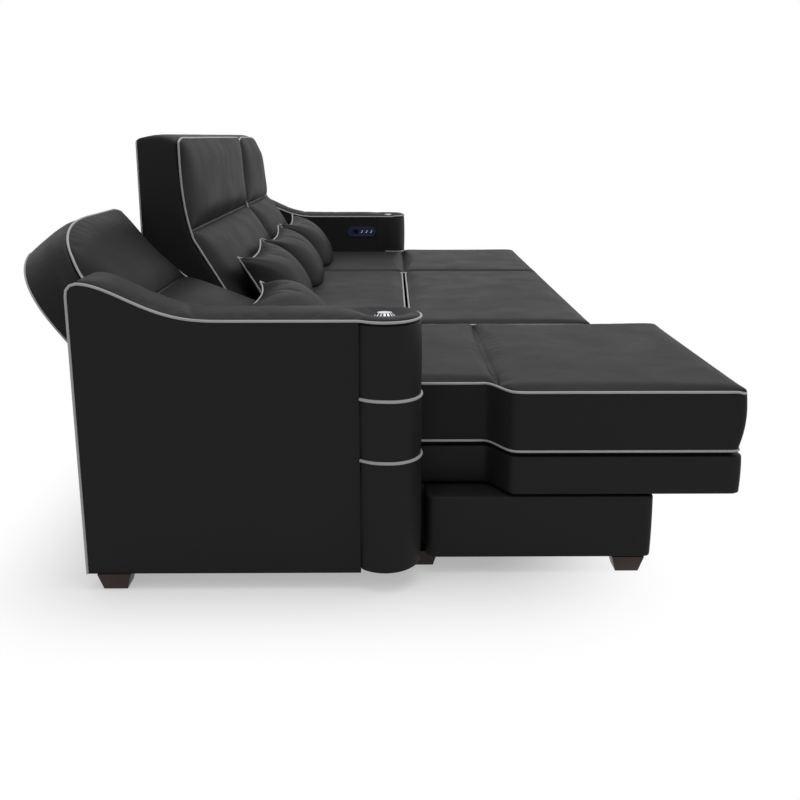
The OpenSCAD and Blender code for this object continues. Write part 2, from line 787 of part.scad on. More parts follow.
// Seat boxes. The middle one stands on a packer
box_setback = 2;
packer_in = 20;

module seat_box() {
  color(leather) translate([0, 0, seat_box_z]) linear_extrude(seat_box_h)
    flared_plan(seat_front - box_setback, seat_box_rear);
}

module middle_seat_box() {
  color(leather) {
    translate([-x_mid, box_setback - seat_front, seat_box_z])
      cube([middle_w, seat_front - box_setback + seat_box_rear, seat_box_h]);
    translate([packer_in - x_mid, packer_in - base_front, base_top])
      cube([middle_w - 2 * packer_in, base_front - packer_in + seat_box_rear, box_gap]);
  }
}

supply_l = 75;
supply_t = 45;
supply_z = 80;

module power_supply() {
  color(black_plastic) translate([-supply_l - 15, rear_board_y - supply_t, supply_z])
    cube([supply_l, supply_t, supply_t]);
}

// The section on the -X side is run out and laid back at rest
module mirrored() {
  mirror([1, 0, 0]) children();
}

module run_out() {
  mirrored() translate([0, -slide_travel, 0]) children();
}

module laid_back(y, z) {
  run_out() translate([0, y, z]) rotate([-recline_angle, 0, 0]) translate([0, -y, -z]) children();
}

// A pillow tips about a line ahead of and above the hinge, which keeps it on the seat
tip_fore = 90;
tip_up = 98;
tip_y = pivot_y - tip_fore;
tip_z = pivot_z + tip_up;

end_tops = [for (x = across(x_in, x_back)) end_front(x)];
middle_tops = [for (x = across(-x_mid, x_mid)) head_z];

module end_head() {
  head_cushion(x_in, x_back, end_tops);
}

module flat_pillow() {
  pillow(x_in + pillow_end_x, flat_belly, flat_skew);
}

module end_lumbar() {
  lumbar_cushion(x_in, x_back);
}

mirrored() arm();  // left_arm
mirrored() arm_pad();  // left_arm_pad
mirrored() column();  // left_column
mirrored() cap();  // left_cap
mirrored() control_panel();  // left_control_panel
arm();  // right_arm
arm_pad();  // right_arm_pad
column();  // right_column
cap();  // right_cap
control_panel();  // right_control_panel
mirrored() base_box();  // left_base_box
mirrored() base_runners();  // left_base_runners
rear_panel(-x_arm, -x_bound);  // left_rear_panel
mirrored() fixed_rails();  // left_fixed_rails
mirrored() actuator();  // left_actuator
base_box();  // right_base_box
base_runners();  // right_base_runners
rear_panel(x_bound, x_arm);  // right_rear_panel
fixed_rails();  // right_fixed_rails
actuator();  // right_actuator
middle_base_box();
middle_base_runners();
rear_panel(-x_bound, x_bound);  // middle_rear_panel
power_supply();
feet();
middle_seat_box();
plain_cushion(0.5 - seat_seam, seat_rear);  // middle_rear_cushion
plain_cushion(-seat_front, -0.5 - seat_seam);  // middle_front_cushion
middle_back_shell();
head_cushion(-x_mid, x_mid, middle_tops);  // middle_head_cushion
lumbar_cushion(-x_mid, x_mid);  // middle_lumbar_cushion
pillow(-pillow_mid_x);  // middle_left_pillow
pillow(pillow_mid_x);  // middle_right_pillow
run_out() seat_box();  // left_seat_box
run_out() seat_cushion();  // left_seat_cushion
run_out() moving_rails();  // left_moving_rails
run_out() actuator_rod();  // left_actuator_rod
run_out() brackets();  // left_brackets
run_out() hinge_pins();  // left_hinge_pins
seat_box();  // right_seat_box
seat_cushion();  // right_seat_cushion
moving_rails();  // right_moving_rails
actuator_rod();  // right_actuator_rod
brackets();  // right_brackets
hinge_pins();  // right_hinge_pins
laid_back(pivot_y, pivot_z) back_shell();  // left_back_shell
laid_back(pivot_y, pivot_z) end_head();  // left_head_cushion
laid_back(pivot_y, pivot_z) end_lumbar();  // left_lumbar_cushion
laid_back(tip_y, tip_z) flat_pillow();  // left_pillow
back_shell();  // right_back_shell
end_head();  // right_head_cushion
end_lumbar();  // right_lumbar_cushion
pillow(x_in + pillow_end_x);  // right_pillow
mirrored() button(-1);  // left_button_front
mirrored() button(0);  // left_button_middle
mirrored() button(1);  // left_button_rear
button(-1);  // right_button_front
button(0);  // right_button_middle
button(1);  // right_button_rear
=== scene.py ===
"""Three-section power reclining sofa in black leather with pale grey piping."""

import json
import math

import bmesh
import bpy
import numpy as np
from mathutils import Matrix, Vector, kdtree, noise


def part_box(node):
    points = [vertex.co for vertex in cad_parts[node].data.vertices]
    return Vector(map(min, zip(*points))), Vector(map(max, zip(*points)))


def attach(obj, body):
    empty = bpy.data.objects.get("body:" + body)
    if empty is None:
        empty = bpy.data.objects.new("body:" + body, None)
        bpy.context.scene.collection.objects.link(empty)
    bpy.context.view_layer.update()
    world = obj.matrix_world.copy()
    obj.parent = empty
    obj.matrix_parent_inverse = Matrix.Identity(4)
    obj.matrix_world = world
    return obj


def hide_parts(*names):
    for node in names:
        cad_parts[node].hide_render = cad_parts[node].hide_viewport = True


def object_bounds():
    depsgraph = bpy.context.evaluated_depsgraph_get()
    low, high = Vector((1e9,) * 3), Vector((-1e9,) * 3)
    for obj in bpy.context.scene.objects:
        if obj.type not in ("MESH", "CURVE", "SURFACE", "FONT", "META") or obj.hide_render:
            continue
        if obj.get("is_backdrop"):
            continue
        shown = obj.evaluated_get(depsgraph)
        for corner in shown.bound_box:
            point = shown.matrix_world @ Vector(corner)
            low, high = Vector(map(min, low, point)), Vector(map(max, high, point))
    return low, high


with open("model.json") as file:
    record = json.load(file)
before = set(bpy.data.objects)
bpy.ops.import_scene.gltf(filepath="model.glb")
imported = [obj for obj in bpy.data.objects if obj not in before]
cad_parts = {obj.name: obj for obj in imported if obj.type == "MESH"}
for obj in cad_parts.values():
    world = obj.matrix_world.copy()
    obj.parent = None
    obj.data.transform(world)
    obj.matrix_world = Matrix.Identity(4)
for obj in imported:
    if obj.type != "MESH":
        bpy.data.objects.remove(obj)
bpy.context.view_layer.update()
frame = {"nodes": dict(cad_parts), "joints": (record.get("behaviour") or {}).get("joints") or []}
bpy.ops.object.select_all(action="DESELECT")
scene = bpy.context.scene
MM = 0.001


# Camera: it looks along the sofa from its left end
EYE = (-3.911, -0.070, 1.050)
PITCH = math.radians(14.4)
YAW = math.radians(0.5)

bpy.ops.object.camera_add(location=EYE, rotation=(math.pi / 2 - PITCH, 0, -math.pi / 2 - YAW))
camera = bpy.context.object
camera.data.lens = 46.26
camera.data.sensor_width = 36
scene.camera = camera


# Motion of the end sections, from the frame
joints = {joint["name"]: joint for joint in frame["joints"]}
TRAVEL = joints["right_slide"]["range_m"][1]
ANGLE = math.radians(joints["right_recline"]["range_deg"][1])
PIVOT = Vector(joints["right_recline"]["pos_m"])
TIP = Vector(joints["right_pillow_tip"]["pos_m"])

# Each end piece is made for the closed section on the +X side and placed by one of these
CLOSED = Matrix.Identity(4)
MIRRORED = Matrix.Scale(-1, 4, (1, 0, 0))
RUN_OUT = MIRRORED @ Matrix.Translation((0, -TRAVEL, 0))


def laid_back(pivot):
    return RUN_OUT @ Matrix.Translation(pivot) @ Matrix.Rotation(-ANGLE, 4, "X") @ Matrix.Translation(-pivot)


# Sizes, from the frame
seat_low, seat_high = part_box("right_seat_cushion")
back_low, back_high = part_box("right_back_shell")
arm_low, arm_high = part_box("right_arm")
column_low, column_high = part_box("right_column")
cap_low, cap_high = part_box("right_cap")
panel_low, panel_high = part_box("right_control_panel")
pillow_low, pillow_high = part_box("right_pillow")
base_low, base_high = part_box("right_base_box")
box_low, box_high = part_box("right_seat_box")
middle_low, middle_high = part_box("middle_rear_cushion")
feet_low, feet_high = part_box("feet")
FLOOR_END = feet_high.z

# Seats: their sides and ends, their two pipings and the flare in front of the arm
X_MID = middle_high.x
X_IN = seat_low.x
X_OUT = arm_low.x - 6 * MM
X_WIDE = seat_high.x
X_BACK = back_high.x
SEAT_FRONT = seat_low.y
SEAT_REAR = seat_high.y
SEAT_SEAM = middle_low.y - 0.5 * MM
PIPE_Z = 461 * MM
LOWER_PIPE_Z = 315 * MM
BOX_TOP = box_high.z
FLARE_START = -95 * MM
FLARE_LENGTH = 68 * MM
FLARE_END = FLARE_START - FLARE_LENGTH
SEAT_CROWN = seat_high.z - PIPE_Z

# Backs: the head above the knee, the leaning lumbar below it, and the round and the square shoulder
BACK_REAR = back_high.y
HEAD_FRONT = BACK_REAR - 130 * MM
BACK_Z = 1057 * MM
HEAD_DROP = 13 * MM
HEAD_Z = BACK_Z - HEAD_DROP
SEAM_Z = 760 * MM
KNEE_Z = 732 * MM
KNEE_SET = 33 * MM
LEAN = math.radians(30.8)
LIP_Z = PIVOT.z + 118 * MM
SHOULDER_DROP = 235 * MM
SHOULDER_W = 430 * MM
SHOULDER_POWER = 2.6
SHOULDER_SET = 16 * MM
EDGE_BACK = 9 * MM
CORNER_W = 70 * MM

# Arms: their rising upper edge, and the oval column and its cap in front
ARM_IN = arm_low.x
ARM_OUT = arm_high.x
ARM_REAR = arm_high.y
CREASE = arm_low.y
ARM_Z = column_high.z
ARM_RISE = arm_high.z - ARM_Z
RISE_START = 300 * MM
CORNER = 24 * MM
RISE_END = ARM_REAR - CORNER
COLUMN_RX = (column_high.x - column_low.x) / 2
COLUMN_RY = 85 * MM
COLUMN_X = (column_high.x + column_low.x) / 2
COLUMN_Y = column_low.y + COLUMN_RY
CAP_X = (cap_low.x + cap_high.x) / 2
CAP_Y = (cap_low.y + cap_high.y) / 2

# The piping's radius, and how far inside a node's side its leather is sewn
PIPE_R = 3.2 * MM
EDGE = 1.5 * MM


# Materials
def linear(hex_colour):
    """Linear colour of an sRGB hex value."""
    parts = [int(hex_colour[i:i + 2], 16) / 255 for i in (1, 3, 5)]
    return [c / 12.92 if c <= 0.04045 else ((c + 0.055) / 1.055) ** 2.4 for c in parts] + [1]


def add(tree, kind, settings=None, **inputs):
    """Adds a node; an input is a value, or an output to link."""
    node = tree.nodes.new(kind)
    for name, value in (settings or {}).items():
        setattr(node, name, value)
    for name, value in inputs.items():
        socket = node.inputs[name.replace("_", " ")]
        if isinstance(value, bpy.types.NodeSocket):
            tree.links.new(value, socket)
        else:
            socket.default_value = value
    return node


def new_material(name, **constants):
    """Material whose shader has the given constants, with its node tree, shader and coordinates."""
    material = bpy.data.materials.new(name)
    material.use_nodes = True
    tree = material.node_tree
    shader = tree.nodes["Principled BSDF"]
    for key, value in constants.items():
        shader.inputs[key.replace("_", " ")].default_value = value
    place = add(tree, "ShaderNodeTexCoord").outputs["Object"]
    return material, tree, shader, place


def two_tone(tree, shader, factor, dark, light):
    """Colour of a surface between two tones."""
    mix = add(tree, "ShaderNodeMix", {"data_type": "RGBA"})
    tree.links.new(factor, mix.inputs["Factor"])
    mix.inputs[6].default_value = linear(dark)
    mix.inputs[7].default_value = linear(light)
    tree.links.new(mix.outputs[2], shader.inputs["Base Color"])


def leather(name, dark, light, roughness, specular, creases, grain_mm=2.4):
    """Corrected-grain cowhide, dyed through and sprayed with a satin finish: a fine pebbled grain, soft
    creases and a broad dull shine. The real grain is 1 mm, and it is drawn coarser so that it shows."""
    material, tree, shader, place = new_material(name, Specular_IOR_Level=specular)
    patches = add(tree, "ShaderNodeTexNoise", Vector=place, Scale=7, Detail=3, Roughness=0.6)
    two_tone(tree, shader, patches.outputs["Fac"], dark, light)
    rough = add(tree, "ShaderNodeMapRange", Value=patches.outputs["Fac"], From_Min=0.3, From_Max=0.7,
                To_Min=roughness - 0.05, To_Max=roughness + 0.05)
    tree.links.new(rough.outputs["Result"], shader.inputs["Roughness"])
    crease = add(tree, "ShaderNodeTexNoise", Vector=place, Scale=1 / (30 * MM), Detail=4, Roughness=0.55,
                 Distortion=0.8)
    pebble = add(tree, "ShaderNodeTexVoronoi", {"feature": "SMOOTH_F1"}, Vector=place,
                 Scale=1 / (grain_mm * MM), Smoothness=0.35)
    soft = add(tree, "ShaderNodeBump", Strength=creases, Distance=2 * MM, Height=crease.outputs["Fac"])
    fine = add(tree, "ShaderNodeBump", {"invert": True}, Strength=0.3, Distance=0.4 * MM,
               Height=pebble.outputs["Distance"], Normal=soft.outputs["Normal"])
    tree.links.new(fine.outputs["Normal"], shader.inputs["Normal"])
    return material


def mottled(name, dark, light, size_mm, roughness, bump, **constants):
    """Surface of two close tones with a fine rough grain of the given size."""
    material, tree, shader, place = new_material(name, Roughness=roughness, **constants)
    grain = add(tree, "ShaderNodeTexNoise", Vector=place, Scale=1 / (size_mm * MM), Detail=3)
    two_tone(tree, shader, grain.outputs["Fac"], dark, light)
    raised = add(tree, "ShaderNodeBump", Strength=bump, Distance=0.1 * MM, Height=grain.outputs["Fac"])
    tree.links.new(raised.outputs["Normal"], shader.inputs["Normal"])
    return material


def wood(name, dark, light, along, roughness, line_mm):
    """Wood with its fibres along one axis: long thin streaks of two tones."""
    material, tree, shader, place = new_material(name, Roughness=roughness, Specular_IOR_Level=0.35)
    stretch = [1 / (line_mm * MM)] * 3
    stretch["XYZ".index(along)] = 1 / (80 * MM)
    laid = add(tree, "ShaderNodeMapping", Vector=place, Scale=stretch)
    fibres = add(tree, "ShaderNodeTexNoise", Vector=laid.outputs["Vector"], Scale=1, Detail=4, Distortion=0.4)
    two_tone(tree, shader, fibres.outputs["Fac"], dark, light)
    raised = add(tree, "ShaderNodeBump", Strength=0.3, Distance=0.15 * MM, Height=fibres.outputs["Fac"])
    tree.links.new(raised.outputs["Normal"], shader.inputs["Normal"])
    return material


# Nappa on all that is sat on, and a darker copy of the same black leather on the sides and the back, whose
# darker colour is painted shade
LEATHER = leather("nappa_leather", "#242425", "#272728", 0.52, 0.05, 0.04)
SHADED_SIDE_LEATHER = leather("side_leather_painted_shade", "#1a1a1b", "#1e1e1f", 0.55, 0.13, 0.08)
# Welting is the same hide dyed pale grey, pulled tight round a cord, so its grain is finer
PIPING = leather("pale_piping_leather", "#9c9c9e", "#b0b0b2", 0.5, 0.3, 0.1, grain_mm=1.2)
# Chrome plate: a bright mirror with a slight cool tint and a little haze
CHROME = mottled("polished_chrome_plate", "#c6c9d2", "#d4d6dd", 6, 0.12, 0.02, Metallic=1.0)
# Injection-moulded ABS with a spark-eroded texture, for the panel and the drive's housings
PANEL_PLASTIC = mottled("textured_abs_panel", "#0e1a33", "#152546", 0.8, 0.3, 0.15)
INSERT_PLASTIC = mottled("dark_blue_acrylic", "#050a14", "#081020", 3, 0.1, 0.02)
BUTTON_PLASTIC = mottled("satin_abs_buttons", "#070d18", "#0b1424", 0.8, 0.35, 0.1)
# Glowing dots on the buttons, a cool white: painted highlights of their glossy faces, which glow though they
# are no lamps
HIGHLIGHT_GLOW = mottled("painted_highlight_glow", "#c9d6e6", "#d6e0ec", 0.5, 0.5, 0.1,
              Emission_Color=linear("#c4d8f0"), Emission_Strength=0.5)
MOTOR_PLASTIC = mottled("black_abs_housing", "#17181a", "#222326", 1.2, 0.5, 0.4)
# Zinc-plated steel: dull grey metal with a faint crystal pattern
STEEL = mottled("zinc_plated_steel", "#7d8184", "#a3a6a8", 9, 0.38, 0.15, Metallic=0.9)
# Plywood stained black for the runner boards, and beech stained nearly black for the feet
BOARD = wood("black_stained_plywood", "#0f0d0c", "#1b1714", "Y", 0.7, 5)
FOOT_WOOD = wood("stained_beech", "#1d120c", "#322117", "Z", 0.38, 3)


# Numbers and curves
def smooth(t):
    t = np.clip(t, 0, 1)
    return t * t * (3 - 2 * t)


def graded(length, step, ends=(4, 10, 18, 28, 40)):
    """Places from 0 to length, closer together towards both ends."""
    ends = np.array((0,) + tuple(ends)) * MM
    inner = length - 2 * ends[-1]
    middle = np.linspace(ends[-1], length - ends[-1], max(1, round(inner / step)) + 1)
    return np.concatenate([ends[:-1], middle, length - ends[-2::-1]])


def resampled(line, fractions):
    """Points of a line at fractions of its length."""
    line = np.asarray(line, float)
    run = np.concatenate([[0], np.cumsum(np.linalg.norm(np.diff(line, axis=0), axis=1))])
    return np.stack([np.interp(fractions * run[-1], run, line[:, k]) for k in range(line.shape[1])], -1)


def length_of(line):
    return np.linalg.norm(np.diff(np.asarray(line, float), axis=0), axis=1).sum()


def evenly(line, step):
    return resampled(line, np.linspace(0, 1, 2 + int(length_of(line) / step)))


def spread(bottom, top, left, right, us, vs):
    """Grid between four lines that meet at their ends."""
    bottom, top = resampled(bottom, us), resampled(top, us)
    left, right = resampled(left, vs), resampled(right, vs)
    u, v = us[None, :, None], vs[:, None, None]
    corners = ((1 - u) * (1 - v) * bottom[0] + u * (1 - v) * bottom[-1]
               + (1 - u) * v * top[0] + u * v * top[-1])
    return (1 - v) * bottom[None] + v * top[None] + (1 - u) * left[:, None] + u * right[:, None] - corners


def edge_loop(grid):
    """Points, or point numbers, round the edge of a grid."""
    return np.concatenate([grid[0, :-1], grid[:-1, -1], grid[-1, :0:-1], grid[:0:-1, 0]])


def inside_of(grid):
    """Distance of each grid point from the ends of its row and of its column, and its share of the way up."""
    width = np.linalg.norm(np.diff(grid, axis=1), axis=2).cumsum(1)
    width = np.concatenate([np.zeros((len(grid), 1)), width], 1)
    height = np.linalg.norm(np.diff(grid, axis=0), axis=2).cumsum(0)
    height = np.concatenate([np.zeros((1, grid.shape[1])), height])
    from_ends = np.minimum(height, height[-1:] - height)
    return np.minimum(width, width[:, -1:] - width), from_ends, height / height[-1:]


def points_of(mesh):
    points = np.empty(len(mesh.vertices) * 3)
    mesh.vertices.foreach_get("co", points)
    return points.reshape(-1, 3)


def set_points(mesh, points):
    mesh.vertices.foreach_set("co", np.ascontiguousarray(points, float).ravel())
    mesh.update()


def normals_of(mesh):
    normals = np.empty(len(mesh.vertices) * 3)
    mesh.vertex_normals.foreach_get("vector", normals)
    return normals.reshape(-1, 3)


def to_seams(points, lines):
    """Distance from each point to the nearest of the seam lines."""
    marks = np.concatenate([evenly(line, 5 * MM) for line in lines])
    tree = kdtree.KDTree(len(marks))
    for i, mark in enumerate(marks):
        tree.insert(mark, i)
    tree.balance()
    return np.array([tree.find(point)[2] for point in points])


def drape(points, size, seed):
    """Smooth random height at each point, about -1 to 1, with bumps of the given size."""
    shift = Vector((seed * 7.31, seed * 3.17, seed * 5.77))
    return np.array([noise.noise(Vector(point) / size + shift) for point in points])


def closed_line(loop):
    return np.concatenate([loop, loop[:1]])


def plan_normals(loop):
    """Direction out of a closed plan at each of its points."""
    along = np.roll(loop, -1, axis=0) - np.roll(loop, 1, axis=0)
    out = np.stack([along[:, 1], -along[:, 0]], -1)
    return out / np.maximum(np.linalg.norm(out, axis=1), 1e-9)[:, None]


def round_corner(plan, corner, inward, radius):
    """Bends one square corner of a plan into a quarter circle, or a quarter oval of two radii."""
    inward = np.array(inward)
    radius = np.array(radius) * np.ones(2)
    centre = np.array(corner) + inward * radius
    d = (plan - centre) * -inward / radius
    inside = (d > 0).all(-1)
    a, b = d[inside, 0], d[inside, 1]
    bent = np.stack([a * np.sqrt(1 - b * b / 2), b * np.sqrt(1 - a * a / 2)], -1)
    plan[inside] = centre - inward * bent * radius


# Making pieces
def add_object(name, mesh, material):
    piece = bpy.data.objects.new(name, mesh)
    scene.collection.objects.link(piece)
    mesh.materials.clear()
    mesh.materials.append(material)
    return piece


def closed_mesh(name, points, faces):
    """Mesh of a closed skin, with its faces turned outwards."""
    mesh = bpy.data.meshes.new(name)
    mesh.from_pydata([tuple(point) for point in points], [], faces)
    skin = bmesh.new()
    skin.from_mesh(mesh)
    bmesh.ops.recalc_face_normals(skin, faces=skin.faces)
    skin.to_mesh(mesh)
    skin.free()
    mesh.update()
    return mesh


def closed_pad(name, top, walls, bottom, material):
    """Closed mesh of a top and a bottom grid, with loops of points between their edges. Returns the piece,
    the point numbers of its loops from the top edge down, and those of its top grid."""
    count = top.shape[0] * top.shape[1]
    cells = np.arange(count).reshape(top.shape[:2])
    quads = np.stack([cells[:-1, :-1], cells[:-1, 1:], cells[1:, 1:], cells[1:, :-1]], -1).reshape(-1, 4)
    rim = edge_loop(cells)
    loops = [rim] + [count + k * len(rim) + np.arange(len(rim)) for k in range(len(walls))]
    under = count + len(walls) * len(rim)
    loops.append(rim + under)
    faces = [quads, quads[:, ::-1] + under]
    for upper, lower in zip(loops, loops[1:]):
        faces.append(np.stack([upper, lower, np.roll(lower, -1), np.roll(upper, -1)], -1))
    points = np.concatenate([top.reshape(-1, 3)] + list(walls) + [bottom.reshape(-1, 3)])
    mesh = closed_mesh(name, points, np.concatenate(faces).tolist())
    return add_object(name, mesh, material), loops, cells


def select_only(piece):
    bpy.ops.object.select_all(action="DESELECT")
    piece.select_set(True)
    bpy.context.view_layer.objects.active = piece


def apply_modifier(piece, kind, **settings):
    modifier = piece.modifiers.new(kind.title(), kind)
    for name, value in settings.items():
        setattr(modifier, name, value)
    select_only(piece)
    bpy.ops.object.modifier_apply(modifier=modifier.name)


def shade_smooth(piece):
    piece.data.polygons.foreach_set("use_smooth", [True] * len(piece.data.polygons))


def finish_piece(piece, place, body, nodes=()):
    """Puts a piece in its place, turned outwards again where that is a mirror image, and names its body."""
    piece.data.transform(place)
    if place.determinant() < 0:
        piece.data.flip_normals()
    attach(piece, body)
    if nodes:
        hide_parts(*nodes)


pads = []


def pad(piece, sewn, seams, place, body, nodes, fill, swell, seed, slack, **others):
    """Registers a padded piece. Sewn are the points that stay, seams the lines that the leather is drawn in
    to, swell is the most that it rises, and slack the share by which its cover is wider."""
    item = dict(piece=piece, sewn=sewn, seams=seams, place=place, body=body, nodes=nodes, fill=fill,
                swell=swell, seed=seed, slack=slack, pressure=4, limit=None, folds=None, wave=0.5)
    item.update(others)
    pads.append(item)


# Frames of the cloth's run, and sizes of the leather's waves, ripples and puckers
FRAMES = 20
WAVE_SIZE = 160 * MM
RIPPLE_SIZE = 60 * MM
PUCKER_SIZE = 20 * MM
PUCKER_RUN = 12 * MM
WAVE_RUN = 50 * MM


def stuff_pads():
    starts = []
    for item in pads:
        starts.append(points_of(item["piece"].data))
        group = item["piece"].vertex_groups.new(name="sewn")
        group.add([int(i) for i in np.unique(item["sewn"])], 1, "REPLACE")
        cloth = item["piece"].modifiers.new("Cloth", "CLOTH")
        cloth.point_cache.frame_start = 1
        cloth.point_cache.frame_end = FRAMES
        settings = cloth.settings
        settings.quality = 4
        settings.mass = 0.3
        settings.tension_stiffness = 15
        settings.compression_stiffness = 15
        settings.shear_stiffness = 5
        settings.bending_stiffness = 0.8
        settings.vertex_group_mass = "sewn"
        settings.shrink_min = -item["slack"]
        settings.use_pressure = True
        settings.uniform_pressure_force = item["pressure"]
        settings.effector_weights.gravity = 0
        cloth.collision_settings.use_collision = False
        cloth.collision_settings.use_self_collision = False
    for number in range(1, FRAMES + 1):
        scene.frame_set(number)
    graph = bpy.context.evaluated_depsgraph_get()
    for item, start in zip(pads, starts):
        piece = item["piece"]
        step = points_of(piece.evaluated_get(graph).data) - start
        far = np.linalg.norm(step, axis=1)
        cap = item["swell"]
        step *= (cap * np.tanh(far / cap) / np.maximum(far, 1e-9))[:, None]
        start = start + step
        item["points"] = start
    for item in pads:
        piece = item["piece"]
        piece.modifiers.clear()
        piece.vertex_groups.clear()
        set_points(piece.data, item["points"])
        apply_modifier(piece, "SUBSURF", levels=1, render_levels=1)
        points, normals = points_of(piece.data), normals_of(piece.data)
        far = to_seams(points, item["seams"])
        wave, seed = item["wave"], item["seed"]
        waves = wave * drape(points, WAVE_SIZE, seed) + 0.15 * wave * drape(points, RIPPLE_SIZE, seed + 3)
        draw = 0.5 + 0.5 * drape(points, WAVE_SIZE, seed + 9)
        puckers = 0.5 * draw * drape(points, PUCKER_SIZE, seed + 5) * np.exp(-far / PUCKER_RUN)
        height = smooth(far / PUCKER_RUN) * (waves * smooth(far / WAVE_RUN) + puckers)
        points += normals * (MM * height)[:, None]
        if item["folds"]:
            points += normals * item["folds"](points)[:, None]
        if item["limit"]:
            points = item["limit"](points)
        set_points(piece.data, points)
        shade_smooth(piece)
        finish_piece(piece, item["place"], item["body"], item["nodes"])
    scene.frame_set(1)


def piping(name, lines, place, body, radius=PIPE_R):
    """Round piping along lines; a line that ends where it starts is closed."""
    curve = bpy.data.curves.new(name, "CURVE")
    curve.dimensions = "3D"
    curve.bevel_depth = radius
    curve.bevel_resolution = 2
    curve.use_fill_caps = True
    for line in lines:
        line = np.asarray(line, float)
        closed = np.linalg.norm(line[0] - line[-1]) < 1e-6
        line = line[:-1] if closed else line
        spline = curve.splines.new("POLY")
        spline.points.add(len(line) - 1)
        spline.points.foreach_set("co", np.c_[line, np.ones(len(line))].ravel())
        spline.use_cyclic_u = bool(closed)
    piece = bpy.data.objects.new(name, curve)
    scene.collection.objects.link(piece)
    select_only(piece)
    bpy.ops.object.convert(target="MESH")
    piece = bpy.context.object
    shade_smooth(piece)
    piece.data.materials.clear()
    piece.data.materials.append(PIPING)
    finish_piece(piece, place, body)


def edge_pipe(loop):
    """Line of the piping that is sewn in just outside an edge."""
    out = plan_normals(loop[:, :2])
    return np.c_[loop[:, :2] + out * 0.8 * MM, loop[:, 2]]


# Seat cushions
def outer_side(y):
    """Outer side of an end seat, which flares out in front of its arm."""
    return X_OUT + (X_WIDE - X_OUT) * smooth((FLARE_START - np.asarray(y)) / FLARE_LENGTH)


def straight(x):
    return lambda y: np.full(np.shape(y), x)


GRID = 13 * MM
CORNER_RUN = 20 * MM
SEAT_FOOT = BOX_TOP + 0.6 * MM
FOOT_SET = 9 * MM
FOOT_RUN = 120 * MM
FRONT_RUN = 60 * MM
CROWN_RUN = 60 * MM
SEAM_W = 6 * MM
SEAM_DEPTH = 7 * MM
PIPE_FALL = 5 * MM
WALL_BULGE = 3 * MM
FRONT_BULGE = 5 * MM
JOINT = 7 * MM
COLUMN_DRAW = 2.3 * MM


